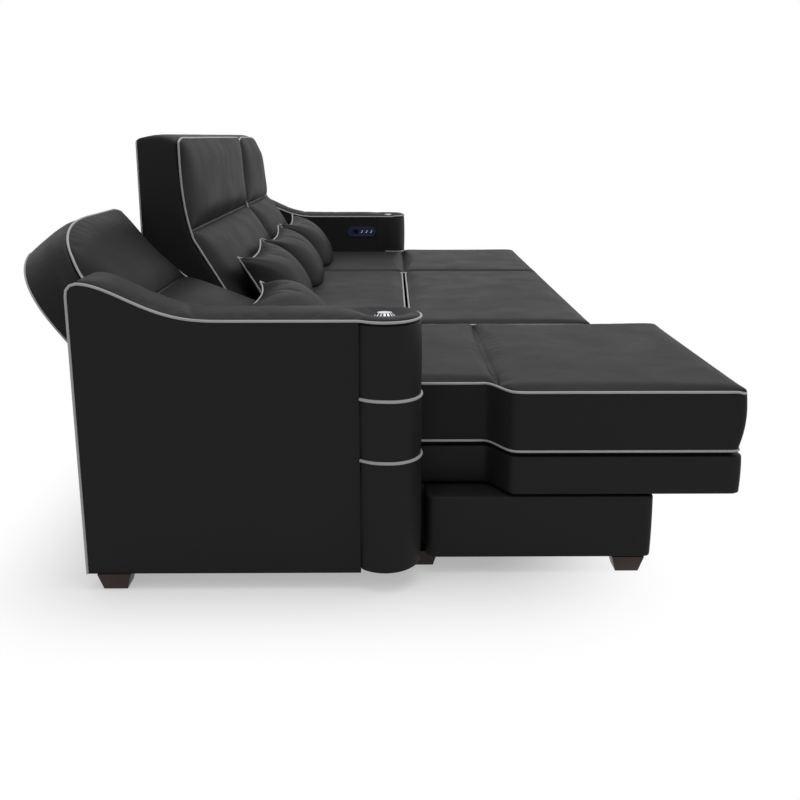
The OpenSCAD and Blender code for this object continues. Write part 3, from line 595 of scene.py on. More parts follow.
def seat_pad(name, left, right, front, rear, seam, place, body, nodes, seed):
    """Seat cushion between two sides, sewn down along a cross seam if it has one."""
    front, rear = front + EDGE, rear - EDGE
    if seam is None:
        ys = front + graded(rear - front, GRID)
    else:
        ends = (2, 5, 10, 18, 28, 40)
        ys = np.concatenate([front + graded(seam - front, GRID, ends)[:-1],
                             seam + graded(rear - seam, GRID, ends)])
    lefts = left(ys) + EDGE
    rights = right(ys) - EDGE
    us = graded((rights - lefts).max(), GRID) / (rights - lefts).max()
    plan = np.stack([lefts[:, None] + (rights - lefts)[:, None] * us, np.repeat(ys[:, None], len(us), 1)], -1)
    from_sides = np.minimum(plan[..., 0] - lefts[:, None], rights[:, None] - plan[..., 0])
    from_ends = np.minimum(ys - front, rear - ys)[:, None]
    run = np.minimum(np.minimum(from_sides, from_ends), CROWN_RUN) / CROWN_RUN
    rise = 0.85 * SEAT_CROWN * (1 - (1 - run) ** 3) ** 0.6
    if seam is not None:
        from_seam = abs(ys - seam)[:, None]
        groove = rise * np.exp(-from_seam / SEAM_W) + SEAM_DEPTH * np.exp(-from_seam / (1.5 * MM))
        rise = rise - groove * smooth(from_sides / (15 * MM))
    for corner, inward in (((lefts[0], front), (1, 1)), ((rights[0], front), (-1, 1)),
                           ((lefts[-1], rear), (1, -1)), ((rights[-1], rear), (-1, -1))):
        round_corner(plan, corner, inward, CORNER_RUN)
    top = np.concatenate([plan, PIPE_Z + rise[..., None]], -1)

    edge = edge_loop(plan)
    out = plan_normals(edge)
    set_back = smooth((front + FOOT_RUN - edge[:, 1]) / FOOT_RUN)

    def loop_at(z, inset):
        """Loop round the cushion at a height, whose front goes back towards its foot."""
        down = min(1, (PIPE_Z - z) / (PIPE_Z - LOWER_PIPE_Z))
        flat = edge - out * inset + np.stack([0 * set_back, set_back * FOOT_SET * down], -1)
        return np.c_[flat, np.full(len(flat), z)]

    heights = PIPE_Z - graded(PIPE_Z - LOWER_PIPE_Z, 16 * MM, (4, 10, 20))[1:]
    bulge = WALL_BULGE + FRONT_BULGE * smooth((front + FRONT_RUN - edge[:, 1]) / FRONT_RUN)[:, None]
    walls = [loop_at(z, -bulge * math.sin(math.pi * (PIPE_Z - z) / (PIPE_Z - LOWER_PIPE_Z))) for z in heights]
    walls += [loop_at(LOWER_PIPE_Z - 6 * MM, 4 * MM)]
    bottom_plan = plan + (plan.mean((0, 1)) - plan) * 0.03
    bottom_plan[:, :, 1] += FOOT_SET * smooth((front + FOOT_RUN - plan[..., 1]) / FOOT_RUN)
    bottom = np.concatenate([bottom_plan, np.full(plan.shape[:2] + (1,), SEAT_FOOT)], -1)
    rim = edge_loop(np.arange(bottom.shape[0] * bottom.shape[1]).reshape(bottom.shape[:2]))
    bottom.reshape(-1, 3)[rim, :2] = loop_at(SEAT_FOOT, 12 * MM)[:, :2]

    piece, loops, cells = closed_pad(name, top, walls, bottom, LEATHER)
    held = [loops[0]] + loops[len(heights):] + [np.arange(cells.size) + loops[-1].min()]
    pipes = [top.reshape(-1, 3)[rim], walls[len(heights) - 1]]
    seams = [closed_line(pipe) for pipe in pipes]
    if seam is not None:
        row = int(np.argmin(abs(ys - seam)))
        held.append(cells[row])
        seams.append(top[row])
    low_limit = np.array([lefts.min() - MM, -np.inf, BOX_TOP + 0.4 * MM])
    high_limit = np.array([rights.max() + 5 * MM, rear + 2 * MM, np.inf])
    highest = seat_high.z - 0.4 * MM - PIPE_Z

    def limit(points):
        """Keeps the cushion clear of its neighbours, of the column and of the pillow on it."""
        points = np.clip(points, low_limit, high_limit)
        ahead = smooth((FLARE_END - points[:, 1]) / (50 * MM))
        points[:, 0] = np.minimum(points[:, 0], right(points[:, 1]) + (0.6 + 4.4 * ahead) * MM)
        up = np.maximum(points[:, 2] - PIPE_Z, 0)
        points[:, 2] -= up - up / (1 + (up / highest) ** 6) ** (1 / 6)
        return points

    pad(piece, np.concatenate(held), seams, place, body, nodes, 0.85, 12 * MM, seed, 0.003, limit=limit)
    lines = [edge_pipe(pipe) for pipe in pipes]
    fall = smooth((SEAT_FRONT + 30 * MM - lines[0][:, 1]) / (30 * MM))
    lines[0] += np.stack([0 * fall, 2.5 * MM * fall, -PIPE_FALL * fall], -1)
    for line in lines:
        ahead = smooth((line[:, 1] - FLARE_END) / (20 * MM) + 1)
        behind = smooth((FLARE_START - line[:, 1]) / (20 * MM) + 1)
        line[:, 0] -= COLUMN_DRAW * ahead * behind * (line[:, 0] > X_OUT - 5 * MM)
    piping(name + "_piping", [closed_line(line) for line in lines], place, body)


for side, place, seed in (("right", CLOSED, 1), ("left", RUN_OUT, 2)):
    seat_pad(side + "_seat", straight(X_IN), outer_side, SEAT_FRONT, SEAT_REAR, SEAT_SEAM, place,
             side + "_seat", [side + "_seat_cushion"], seed)
for part, front, rear, seed in (("middle_rear", SEAT_SEAM + JOINT, SEAT_REAR, 3),
                                ("middle_front", SEAT_FRONT, SEAT_SEAM - JOINT, 4)):
    seat_pad(part + "_seat", straight(-X_MID), straight(X_MID), front, rear, None, CLOSED, "frame",
             [part + "_cushion"], seed)


# Backs
def front_y(z):
    """Front face of a back's body at a height above the lumbar's foot."""
    z = np.asarray(z, float)
    upper = HEAD_FRONT - KNEE_SET * (np.clip(HEAD_Z - z, 0, None) / (HEAD_Z - KNEE_Z)) ** 3
    return np.where(z < KNEE_Z, HEAD_FRONT - KNEE_SET - (KNEE_Z - z) * math.tan(LEAN), upper)


def front_normal(z):
    """Normal of that face in (y, z)."""
    slope = (front_y(np.asarray(z) + MM) - front_y(np.asarray(z) - MM)) / (2 * MM)
    return np.stack([-1 / np.sqrt(1 + slope ** 2), slope / np.sqrt(1 + slope ** 2)], -1)


def round_drop(d):
    """Drop of a round shoulder at d from its side."""
    t = np.clip(1 - np.asarray(d) / SHOULDER_W, 0, 1)
    return SHOULDER_DROP * (1 - (1 - t ** SHOULDER_POWER) ** (1 / SHOULDER_POWER))


def corner_drop(d, height, width):
    """Drop of a square corner at d from its side."""
    radius = (height ** 2 + width ** 2) / (2 * height)
    return radius - np.sqrt(radius ** 2 - np.clip(width - np.asarray(d), 0, width) ** 2)


def edge_back(x, z):
    """How far the outer front edge of the round side falls back."""
    return EDGE_BACK * smooth(1 - (X_BACK - x) / (70 * MM)) * smooth((z - KNEE_Z) / (60 * MM))


def on_back(plan, thickness):
    """Points of a back's face from (x, z), raised by a thickness."""
    x, z = plan[..., 0], plan[..., 1]
    n = front_normal(z)
    return np.stack([x, front_y(z) + edge_back(x, z) + n[..., 0] * thickness, z + n[..., 1] * thickness], -1)


RIM = 3 * MM
DOME_RUN = 350 * MM
BACK_SLACK = 0.002
HEAD_CROWN = 30 * MM
HEAD_RUN = 45 * MM
LUMBAR_CROWN = 45 * MM
LUMBAR_RUN = 70 * MM
REAR_PIPE_R = 2.6 * MM


def back_pad(name, plan, crown, run, place, body, nodes, seed):
    """Pad on the front of a back, from a grid in (x, z): it rises fast along its sides and then domes slowly
    towards its middle. Returns its four edges."""
    from_sides, _, s = inside_of(plan)
    rise = 1 - (1 - np.minimum(from_sides, run) / run) ** 2.4
    dome = 1 - (1 - np.minimum(from_sides, DOME_RUN) / DOME_RUN) ** 2
    swell = crown * (0.55 * rise + 0.45 * dome) * (1 - abs(2 * s - 1) ** 6) ** 0.55
    top = on_back(plan, RIM + 0.7 * swell)
    wall = on_back(edge_loop(plan), 1.5 * MM)
    piece, loops, cells = closed_pad(name, top, [wall], on_back(plan, 0.4 * MM), LEATHER)
    held = [loops[0], loops[1], np.arange(cells.size) + loops[-1].min()]
    rim = edge_loop(top)
    pad(piece, np.concatenate(held), [closed_line(rim)], place, body, nodes, 0.7, 14 * MM, seed, BACK_SLACK)
    return {"bottom": top[0], "right": top[:, -1], "top": top[-1], "left": top[:, 0]}


def front_set(z):
    """How far the front edge of a round shoulder stands in at a height."""
    return SHOULDER_SET * smooth((np.asarray(z) - SEAM_Z) / (90 * MM))


def head_plan(a, b, round_side):
    """Grid in (x, z) of a head cushion from x = a to b, whose b side may have the round shoulder."""
    low = SEAM_Z + 3 * MM
    a, b = a + EDGE, b - EDGE
    d = np.linspace(0, CORNER_W, 12)
    square = np.stack([d, HEAD_Z - corner_drop(d, HEAD_DROP, CORNER_W)], -1)
    if round_side:
        d = SHOULDER_W * (1 - np.sin(np.linspace(0, math.pi / 2, 60)) ** (2 / SHOULDER_POWER))
        z = HEAD_Z - round_drop(d)
        arc = np.stack([b - front_set(z) - d, z], -1)
        split = int(np.argmin(abs(np.gradient(arc[:, 1], arc[:, 0] + 1e-9) + 1)))
        side = np.linspace(low, arc[-1, 1], 8)[:-1]
        right = np.concatenate([np.stack([b - front_set(side), side], -1), arc[:split - 1:-1]])
        top = np.concatenate([square + [a, 0], arc[:split + 1]])
    else:
        right = np.array([(b, low), (b, square[0, 1])])
        top = np.concatenate([square + [a, 0], (square * [-1, 1] + [b, 0])[::-1]])
    left = np.array([(a, low), (a, square[0, 1])])
    bottom = np.array([(a, low), (b, low)])
    us = graded(b - a, GRID) / (b - a)
    height = HEAD_Z - low
    vs = graded(height, GRID) / height
    return spread(bottom, top, left, right, us, vs)


def lumbar_plan(a, b):
    """Grid in (x, z) of the cushion below it."""
    a, b = a + EDGE, b - EDGE
    top, low = SEAM_Z - 4 * MM, LIP_Z
    us = graded(b - a, GRID)
    vs = graded(top - low, GRID)
    return np.stack(np.broadcast_arrays((a + us)[None, :], (low + vs)[:, None]), -1).copy()


def dress_back(side, place, body, a, b, round_side, seed):
    """Head and lumbar cushion of a back from x = a to b, and its piping."""
    head = back_pad(side + "_head", head_plan(a, b, round_side), HEAD_CROWN, HEAD_RUN, place, body,
                    [side + "_head_cushion"], seed)
    lumbar = back_pad(side + "_lumbar", lumbar_plan(a, b), LUMBAR_CROWN, LUMBAR_RUN, place, body,
                      [side + "_lumbar_cushion"], seed + 1)
    line = np.concatenate([lumbar["left"], head["left"], head["top"][1:], head["right"][-2::-1],
                           lumbar["right"][::-1]])
    piping(side + "_back_piping", [line], place, body)
    piping(side + "_rear_piping", [rear_line(a, b, round_side)], place, body, REAR_PIPE_R)


def rear_line(a, b, round_side):
    """Line of the piping round the rear face of a back."""
    y = BACK_REAR - 4 * MM
    low = back_low.z + 70 * MM
    high = BACK_Z - 16 * MM
    corner = 90 * MM
    d = np.linspace(0, corner, 8)
    square = np.stack([a + EDGE + d, high - corner_drop(d, 6 * MM, corner)], -1)
    if round_side:
        d = SHOULDER_W * (1 - np.sin(np.linspace(0, math.pi / 2, 50)) ** (2 / SHOULDER_POWER))
        other = np.stack([b - EDGE - d, np.minimum(high, BACK_Z - MM - round_drop(d))], -1)
    else:
        other = (square * [-1, 1])[::-1]
    flat = np.concatenate([[(a + EDGE, low)], square, other, [(b - EDGE, low)]])
    flat = evenly(flat, 12 * MM)
    return np.stack([flat[:, 0], np.full(len(flat), y), flat[:, 1]], -1)


dress_back("right", CLOSED, "right_back", X_IN, X_BACK, True, 11)
dress_back("left", laid_back(PIVOT), "left_back", X_IN, X_BACK, True, 14)
dress_back("middle", CLOSED, "frame", -X_MID, X_MID, False, 17)


TOP_RUN = 100 * MM


def near_front(y):
    """1 at the front of a back's body, and 0 from 60 mm behind it."""
    return smooth((HEAD_FRONT + 60 * MM - y) / (60 * MM))


def shoulder_shape(points):
    """Lowers and sets in the front edge of the round shoulder, which hangs back from the rear edge."""
    x, y, z = points.T
    near = near_front(y)
    drop = round_drop(X_BACK - x)
    below = BACK_Z - drop - z
    rim = near * smooth(1 - below / TOP_RUN)
    square = corner_drop(x - X_IN, HEAD_DROP, CORNER_W)
    z = z - rim * (HEAD_DROP * np.clip(drop / HEAD_DROP, 0, 1) + square)
    y = y + near * edge_back(x, z)
    x = x - near * front_set(z) * smooth(1 - (X_BACK - x) / (120 * MM))
    return np.stack([x, y, z], -1)


def middle_shape(points):
    """Lowers the upper corners of the middle back's front edge."""
    x, y, z = points.T
    near = near_front(y) * smooth(1 - (BACK_Z - z) / TOP_RUN)
    return np.stack([x, y, z - near * corner_drop(X_MID - abs(x), HEAD_DROP, CORNER_W)], -1)


def cover(side, source, place, body, voxel, seed, shape):
    """Leather pulled over a back's body, softened at its edges and shaped."""
    mesh = frame["nodes"][source].data.copy()
    mesh.transform(frame["nodes"][source].matrix_world)
    shell = bmesh.new()
    shell.from_mesh(mesh)
    bmesh.ops.remove_doubles(shell, verts=shell.verts, dist=0.02 * MM)
    shell.to_mesh(mesh)
    shell.free()
    piece = add_object(side + "_shell_cover", mesh, SHADED_SIDE_LEATHER)
    apply_modifier(piece, "REMESH", mode="VOXEL", voxel_size=voxel)
    apply_modifier(piece, "SMOOTH", factor=0.5, iterations=5)
    points, normals = points_of(piece.data), normals_of(piece.data)
    points += normals * (MM * 0.6 * drape(points, 0.18, seed))[:, None]
    set_points(piece.data, shape(points))
    shade_smooth(piece)
    finish_piece(piece, place, body, [side + "_back_shell"])


cover("right", "right_back_shell", CLOSED, "right_back", 8 * MM, 25, shoulder_shape)
cover("left", "right_back_shell", laid_back(PIVOT), "left_back", 8 * MM, 26, shoulder_shape)
cover("middle", "middle_back_shell", CLOSED, "frame", 9 * MM, 27, middle_shape)


# Lumbar pillows
SEAT_TOP = seat_high.z + 0.3 * MM
PILLOW_TOP = 674 * MM
PILLOW_H = 330 * MM
PILLOW_DIP = 34 * MM
PILLOW_DRAW = 16 * MM
PILLOW_BACK = 38 * MM
PILLOW_EDGE = 2 * MM
PILLOW_GRID = 12 * MM
SEAT_T = (PILLOW_TOP - SEAT_TOP) / math.cos(LEAN)
# Its middle lies off the back's body by the lumbar cushion's crown and its own rear half
PILLOW_Y = front_y(PILLOW_TOP) - (LUMBAR_CROWN + PILLOW_BACK + 0.8 * MM) / math.cos(LEAN)
PILLOW_W = pillow_high.x - pillow_low.x - 2 * MM
PILLOW_X = (pillow_high.x + pillow_low.x) / 2


def pillow(part, centre, belly, skew, slope, place, body, seed):
    """Lumbar pillow with horned upper corners, standing on the seat and leaning on the back. Belly is how
    far it stands out, skew how much more of that is at its top, and slope how flat it is near its edges."""
    us = 2 * graded(PILLOW_W, PILLOW_GRID) / PILLOW_W - 1
    ss = graded(PILLOW_H, PILLOW_GRID)[::-1] / PILLOW_H
    u, s = np.meshgrid(us, ss)
    dip = PILLOW_DIP * (1 - abs(u) ** 2.5)
    thick = np.maximum(0, 1 - abs(u) ** 3) ** 0.55
    end = SEAT_T + (PILLOW_H - SEAT_T) * thick
    arch = 2 * np.sqrt(np.clip(s * (1 - s), 0, 1))
    x = centre + u * (PILLOW_W / 2 - PILLOW_DRAW * (1 - (2 * s - 1) ** 2))

    def face(n):
        """Points of the pillow raised by n from its middle, none of them below the seat's top."""
        t = np.minimum(dip + (end - dip) * s, SEAT_T + n * math.tan(LEAN))
        y = PILLOW_Y - t * math.sin(LEAN) - n * math.cos(LEAN)
        z = PILLOW_TOP - t * math.cos(LEAN) + n * math.sin(LEAN)
        return np.stack([x, y, z], -1)

    top = face(PILLOW_EDGE + belly * (1 + skew * (0.25 - s)) * thick * arch ** slope)
    bottom = face(-PILLOW_EDGE - (PILLOW_BACK - PILLOW_EDGE) * thick * arch ** 0.6)
    rim = edge_loop(face(0 * s))
    piece, loops, cells = closed_pad(part + "_lumbar_pillow", top, [rim], bottom, LEATHER)
    low = np.flatnonzero(points_of(piece.data)[:, 2] < SEAT_TOP + 6 * MM)
    held = np.concatenate([loops[0], loops[1], np.arange(cells.size) + loops[-1].min(), low])
    horns = [(rim[np.argmin(np.linalg.norm(rim - corner, axis=1))], side)
             for side, corner in ((1, top[-1, 0]), (-1, top[-1, -1]))]

    def folds(points):
        """Creases that run from the horns down across the belly."""
        depth = np.zeros(len(points))
        down = np.array([0, -math.sin(LEAN), -math.cos(LEAN)])
        for k, (horn, side) in enumerate(horns):
            # Each horn's crease has its own angle and length, and a ridge beside it
            turn = math.radians(38 + 9 * math.sin(seed * 2.1 + k * 1.7))
            reach = (120 + 30 * math.sin(seed + k)) * MM
            away = points - horn
            along = away @ (np.array([side * math.cos(turn), 0, 0]) + down * math.sin(turn))
            across = away @ (np.array([-side * math.sin(turn), 0, 0]) + down * math.cos(turn))
            line = np.exp(-(across / (9 * MM + 0.1 * abs(along))) ** 2)
            ridge = np.exp(-((across - 26 * MM) / (14 * MM)) ** 2)
            fade = smooth(along / (15 * MM)) * np.exp(-(along / reach) ** 2)
            depth += fade * (-6 * MM * line + 3 * MM * ridge)
        return depth

    back_limit = PILLOW_BACK + 0.8 * MM
    lean_out = np.array([0, -math.cos(LEAN), math.sin(LEAN)])
    origin = np.array([0, PILLOW_Y, PILLOW_TOP])

    def limit(points):
        """Keeps the pillow above the seat and in front of the back."""
        points[:, 2] = np.maximum(points[:, 2], SEAT_TOP)
        over = np.minimum((points - origin) @ lean_out + back_limit, 0)
        return points - over[:, None] * lean_out

    pad(piece, held, [closed_line(rim)], place, body, [part + "_pillow"], 0.55, 16 * MM, seed, 0.015,
        pressure=5, limit=limit, folds=folds, wave=1.6)
    line = rim[::-1].copy()
    line[:, 2] = np.maximum(line[:, 2], SEAT_TOP + PIPE_R)
    piping(part + "_lumbar_pillow_piping", [closed_line(line)], place, body)


middle_pillow_low, middle_pillow_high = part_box("middle_right_pillow")
MIDDLE_PILLOW_X = (middle_pillow_low.x + middle_pillow_high.x) / 2
for part, centre, belly, skew, slope, place, body, seed in (
        ("right", PILLOW_X, 102 * MM, 0, 0.85, CLOSED, "right_pillow", 31),
        ("left", PILLOW_X, 76 * MM, 1.5, 1.5, laid_back(TIP), "left_pillow", 33),
        ("middle_right", MIDDLE_PILLOW_X, 102 * MM, 0, 0.85, CLOSED, "frame", 35),
        ("middle_left", -MIDDLE_PILLOW_X, 102 * MM, 0, 0.85, CLOSED, "frame", 37)):
    pillow(part, centre, belly, skew, slope, place, body, seed)


# Upholstered boxes and columns
def rounded(corners, radii):
    """Closed plan with right-angled corners made round."""
    loop = []
    corners = [np.array(corner, float) for corner in corners]
    for i, (corner, radius) in enumerate(zip(corners, radii)):
        if radius == 0:
            loop.append(corner)
            continue
        back = corners[i - 1] - corner
        ahead = corners[(i + 1) % len(corners)] - corner
        a, b = back / np.linalg.norm(back), ahead / np.linalg.norm(ahead)
        centre = corner + (a + b) * radius
        for turn in np.radians(np.linspace(0, 90, 7)):
            loop.append(centre - radius * (b * math.cos(turn) + a * math.sin(turn)))
    return np.array(loop)


def soft_box(name, plan, low, high, bands, puff, edge, place, body, nodes, seed):
    """Body with leather pulled tight round it, which stands out by its puff between bands and has round
    edges."""
    loop = evenly(closed_line(plan), 9 * MM)[:-1]
    out = plan_normals(loop)
    if np.sum(loop[:, 0] * np.roll(loop[:, 1], -1) - loop[:, 1] * np.roll(loop[:, 0], -1)) < 0:
        out = -out
    stops = [low, *bands, high]
    rings = []
    for a, b in zip(stops, stops[1:]):
        zs = a + graded(b - a, 14 * MM, (2, 5, 10, 18))
        for z in zs if a == low else zs[1:]:
            swell = puff * (1 - abs(2 * (z - a) / (b - a) - 1) ** 2.2)
            end = min(z - low, high - z)
            inset = edge * (1 - math.sqrt(max(0, 1 - max(0, 1 - end / edge) ** 2)))
            rings.append(np.c_[loop + out * (swell - inset), np.full(len(loop), z)])
    m = len(loop)
    faces = []
    for k in range(len(rings) - 1):
        upper, lower = np.arange(m) + (k + 1) * m, np.arange(m) + k * m
        faces += np.stack([upper, lower, np.roll(lower, -1), np.roll(upper, -1)], -1).tolist()
    faces += [list(range(m)), [(len(rings) - 1) * m + i for i in range(m)]]
    points = np.concatenate(rings)
    piece = add_object(name, closed_mesh(name, points, faces), SHADED_SIDE_LEATHER)
    normals = normals_of(piece.data)
    flat = smooth(np.minimum(points[:, 2] - low, high - points[:, 2]) / (30 * MM))
    set_points(piece.data, points + normals * (MM * 0.7 * flat * drape(points, WAVE_SIZE, seed))[:, None])
    select_only(piece)
    bpy.ops.object.shade_smooth_by_angle(angle=math.radians(50))
    finish_piece(piece, place, body, nodes)


flare_ys = np.linspace(FLARE_START, FLARE_END, 14)
end_box = np.concatenate([
    rounded([(X_IN, box_high.y), (X_IN, box_low.y), (X_WIDE, box_low.y), (X_WIDE, flare_ys[-1])],
            [0, 8 * MM, 22 * MM, 0]),
    np.stack([outer_side(flare_ys[::-1]), flare_ys[::-1]], -1)[1:],
    [(X_OUT, box_high.y)],
])
middle_box_low, middle_box_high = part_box("middle_seat_box")
middle_box = rounded([(-X_MID, box_high.y), (-X_MID, box_low.y), (X_MID, box_low.y), (X_MID, box_high.y)],
                     [0, 8 * MM, 8 * MM, 0])
end_base = rounded([(base_low.x, base_high.y), (base_low.x, base_low.y), (base_high.x, base_low.y),
                    (base_high.x, base_high.y)], [0, 0, 20 * MM, 20 * MM])
middle_base_low, middle_base_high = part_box("middle_base_box")
middle_base = rounded([(middle_base_low.x, base_high.y), (middle_base_low.x, base_low.y),
                       (middle_base_high.x, base_low.y), (middle_base_high.x, base_high.y)], [0, 0, 0, 0])

for side, plan, low, place, body, seed in (("right", end_box, box_low.z, CLOSED, "right_seat", 41),
                                           ("left", end_box, box_low.z, RUN_OUT, "left_seat", 42),
                                           ("middle", middle_box, middle_box_low.z, CLOSED, "frame", 43)):
    soft_box(side + "_seat_band", plan, low, box_high.z, [], 2 * MM, 5 * MM, place, body,
             [side + "_seat_box"], seed)
for side, plan, edge, place, seed in (("right", end_base, 5 * MM, CLOSED, 44),
                                      ("left", end_base, 5 * MM, MIRRORED, 45),
                                      ("middle", middle_base, 3 * MM, CLOSED, 46)):
    soft_box(side + "_base_cover", plan, base_low.z, base_high.z, [], 1.5 * MM, edge, place, "frame",
             [side + "_base_box"], seed)

COLUMN_TOP = ARM_Z - 7 * MM
BANDS = (469 * MM, 323 * MM)
BAND_FALL = 4 * MM
BAND_R = 4 * MM
turns = np.radians(np.arange(0, 360, 5))
column_plan = np.stack([COLUMN_X + COLUMN_RX * np.cos(turns), COLUMN_Y + COLUMN_RY * np.sin(turns)], -1)
# Its inner rear quarter runs straight along the seat, and its rear ends at the arm
column_plan[(turns > math.pi / 2) & (turns < math.pi), 0] = ARM_IN + MM
column_plan[:, 1] = np.minimum(column_plan[:, 1], CREASE - 0.5 * MM)
for side, place, seed in (("right", CLOSED, 51), ("left", MIRRORED, 52)):
    soft_box(side + "_column_cover", column_plan, column_low.z, COLUMN_TOP, BANDS[::-1], 2 * MM, 3 * MM,
             place, "frame", [side + "_column"], seed)


# Arms
def arm_edge(y):
    """Height of an arm's upper edge."""
    part = np.clip((np.asarray(y) - RISE_START) / (RISE_END - RISE_START), 0, 1)
    return ARM_Z + ARM_RISE * smooth(part ** 1.5)


corner_turns = np.radians(np.linspace(90, 0, 9))
rear_corner = np.stack([RISE_END + CORNER * np.cos(corner_turns),
                        ARM_Z + ARM_RISE - CORNER + CORNER * np.sin(corner_turns)], -1)


def arm_side():
    """Grid in (y, z) over the side of an arm."""
    rise = np.concatenate([[CREASE], np.linspace(RISE_START, RISE_END, 24)])
    top = np.concatenate([np.stack([rise, arm_edge(rise)], -1), rear_corner[1:5]])
    rear = np.concatenate([[(ARM_REAR, FLOOR_END)], rear_corner[:3:-1]])
    front = np.array([(CREASE, FLOOR_END), (CREASE, ARM_Z)])
    bottom = np.array([(CREASE, FLOOR_END), (ARM_REAR, FLOOR_END)])
    us = graded(ARM_REAR - CREASE, 16 * MM) / (ARM_REAR - CREASE)
    vs = graded(ARM_Z - FLOOR_END, 16 * MM) / (ARM_Z - FLOOR_END)
    return spread(bottom, top, front, rear, us, vs)


ARM_SWELL = 3.5 * MM
SWELL_RUN = 150 * MM


def arm_body(side, place, seed):
    """Boxed body of an arm under its leather, with a slight swell on its outer side."""
    flat = arm_side()
    from_sides, from_ends, _ = inside_of(flat)
    run = np.minimum(np.minimum(from_sides, from_ends), SWELL_RUN) / SWELL_RUN
    swell = ARM_SWELL * (1 - (1 - run) ** 2)
    edge = edge_loop(flat)
    outer_x, inner_x = ARM_OUT - MM, ARM_IN + 0.5 * MM
    outer = np.concatenate([(outer_x + swell)[..., None], flat], -1)
    inner = np.concatenate([np.full(flat.shape[:2] + (1,), inner_x), flat], -1)
    walls = [np.c_[np.full(len(edge), outer_x + (inner_x - outer_x) * t), edge]
             for t in (0.02, 0.06, 0.2, 0.4, 0.6, 0.8, 0.94, 0.98)]
    piece, _, _ = closed_pad(side + "_arm_cover", outer, walls, inner, SHADED_SIDE_LEATHER)
    points, normals = points_of(piece.data), normals_of(piece.data)
    x, y, z = points.T
    from_edge = np.minimum(np.minimum(y - CREASE, ARM_REAR - y), z - FLOOR_END)
    lie = smooth(from_edge / (50 * MM)) * smooth((x - ARM_IN) / (100 * MM))
    set_points(piece.data, points + normals * (MM * 0.9 * lie * drape(points, 0.17, seed))[:, None])
    select_only(piece)
    bpy.ops.object.shade_smooth_by_angle(angle=math.radians(40))
    finish_piece(piece, place, "frame", [side + "_arm"])


def column_reach(y):
    """Half width of the column's oval at y."""
    return COLUMN_RX * np.sqrt(np.clip(1 - ((y - COLUMN_Y) / COLUMN_RY) ** 2, 0, 1))


ARM_GRID = 9 * MM
ARM_ENDS = (3, 7, 12, 18, 26)
TOP_RISE = 8 * MM
RISE_RUN = 85 * MM
DISH_R = 26 * MM
DISH_RUN = 55 * MM
DISH_DEPTH = 5 * MM


def arm_top(side, place, seed):
    """Padded top of an arm, which runs on over the column and dips round the cap, and the arm's piping."""
    front, rear = column_low.y + EDGE, RISE_END - MM
    ys = front + graded(rear - front, ARM_GRID, ARM_ENDS)
    reach = np.where(ys < COLUMN_Y, COLUMN_RX, column_reach(ys))
    lefts = np.full(len(ys), ARM_IN + EDGE)
    rights = np.where(ys < CREASE, np.maximum(COLUMN_X + reach, ARM_OUT), ARM_OUT) - EDGE
    width = (rights - lefts)[:, None]
    us = graded(ARM_OUT - ARM_IN, ARM_GRID, ARM_ENDS) / (ARM_OUT - ARM_IN)
    plan = np.stack([lefts[:, None] + width * us, np.repeat(ys[:, None], len(us), 1)], -1)
    from_edge = np.minimum(np.minimum(us, 1 - us) * width, (ys - front)[:, None])
    for corner, inward in (((lefts[0], front), (1, 1)), ((rights[0], front), (-1, 1))):
        round_corner(plan, corner, inward, (COLUMN_RX - EDGE, COLUMN_RY - EDGE))
    base = arm_edge(plan[..., 1])
    rise = TOP_RISE * (1 - (1 - np.minimum(from_edge, RISE_RUN) / RISE_RUN) ** 6) ** 0.6
    rise *= 0.8 + 0.2 * smooth((rear - plan[..., 1]) / (40 * MM))
    around = np.hypot(plan[..., 0] - CAP_X, plan[..., 1] - CAP_Y)
    dish = 1 - smooth((around - DISH_R) / DISH_RUN)
    height = base + MM + rise * (1 - dish) - DISH_DEPTH * dish
    top = np.concatenate([plan, height[..., None]], -1)
    on_column = 1 - smooth((plan[..., 1] - CREASE + 12 * MM) / (10 * MM))
    under = base + 0.4 * MM - 6.8 * MM * on_column
    bottom = np.concatenate([plan, under[..., None]], -1)
    wall = (edge_loop(bottom) + edge_loop(top)) / 2
    piece, loops, cells = closed_pad(side + "_arm_top", top, [wall], bottom, LEATHER)
    under_cap = cells[around < 33 * MM]
    held = np.concatenate([loops[0], loops[1], np.arange(cells.size) + loops[-1].min(), under_cap])
    rim = edge_loop(top)
    pad(piece, held, [closed_line(rim)], place, "frame", [side + "_arm_pad"], 0.9, 7 * MM, seed, 0.006,
        wave=0.6)

    # The piping runs from the outer rear corner round the front to the inner one, and down the rear at both
    inner_drop = 2 * MM * (rim[:, 0] < ARM_IN + 5 * MM)
    pipe = edge_pipe(np.c_[rim[:, :2], arm_edge(rim[:, 1]) - inner_drop])
    rows, cols = cells.shape
    far_corner = rows + cols - 2
    line = pipe[[*range(far_corner, -1, -1), *range(len(pipe) - 1, far_corner + cols - 2, -1)]]

    def down_rear(x):
        flat = np.concatenate([rear_corner, [(ARM_REAR, FLOOR_END)]]) + [0.8 * MM, 0]
        flat = evenly(flat, 14 * MM)
        return np.c_[np.full(len(flat), x), flat]

    line = np.concatenate([down_rear(line[0, 0])[::-1], line[1:-1], down_rear(line[-1, 0])])
    piping(side + "_arm_piping", [line], place, "frame")


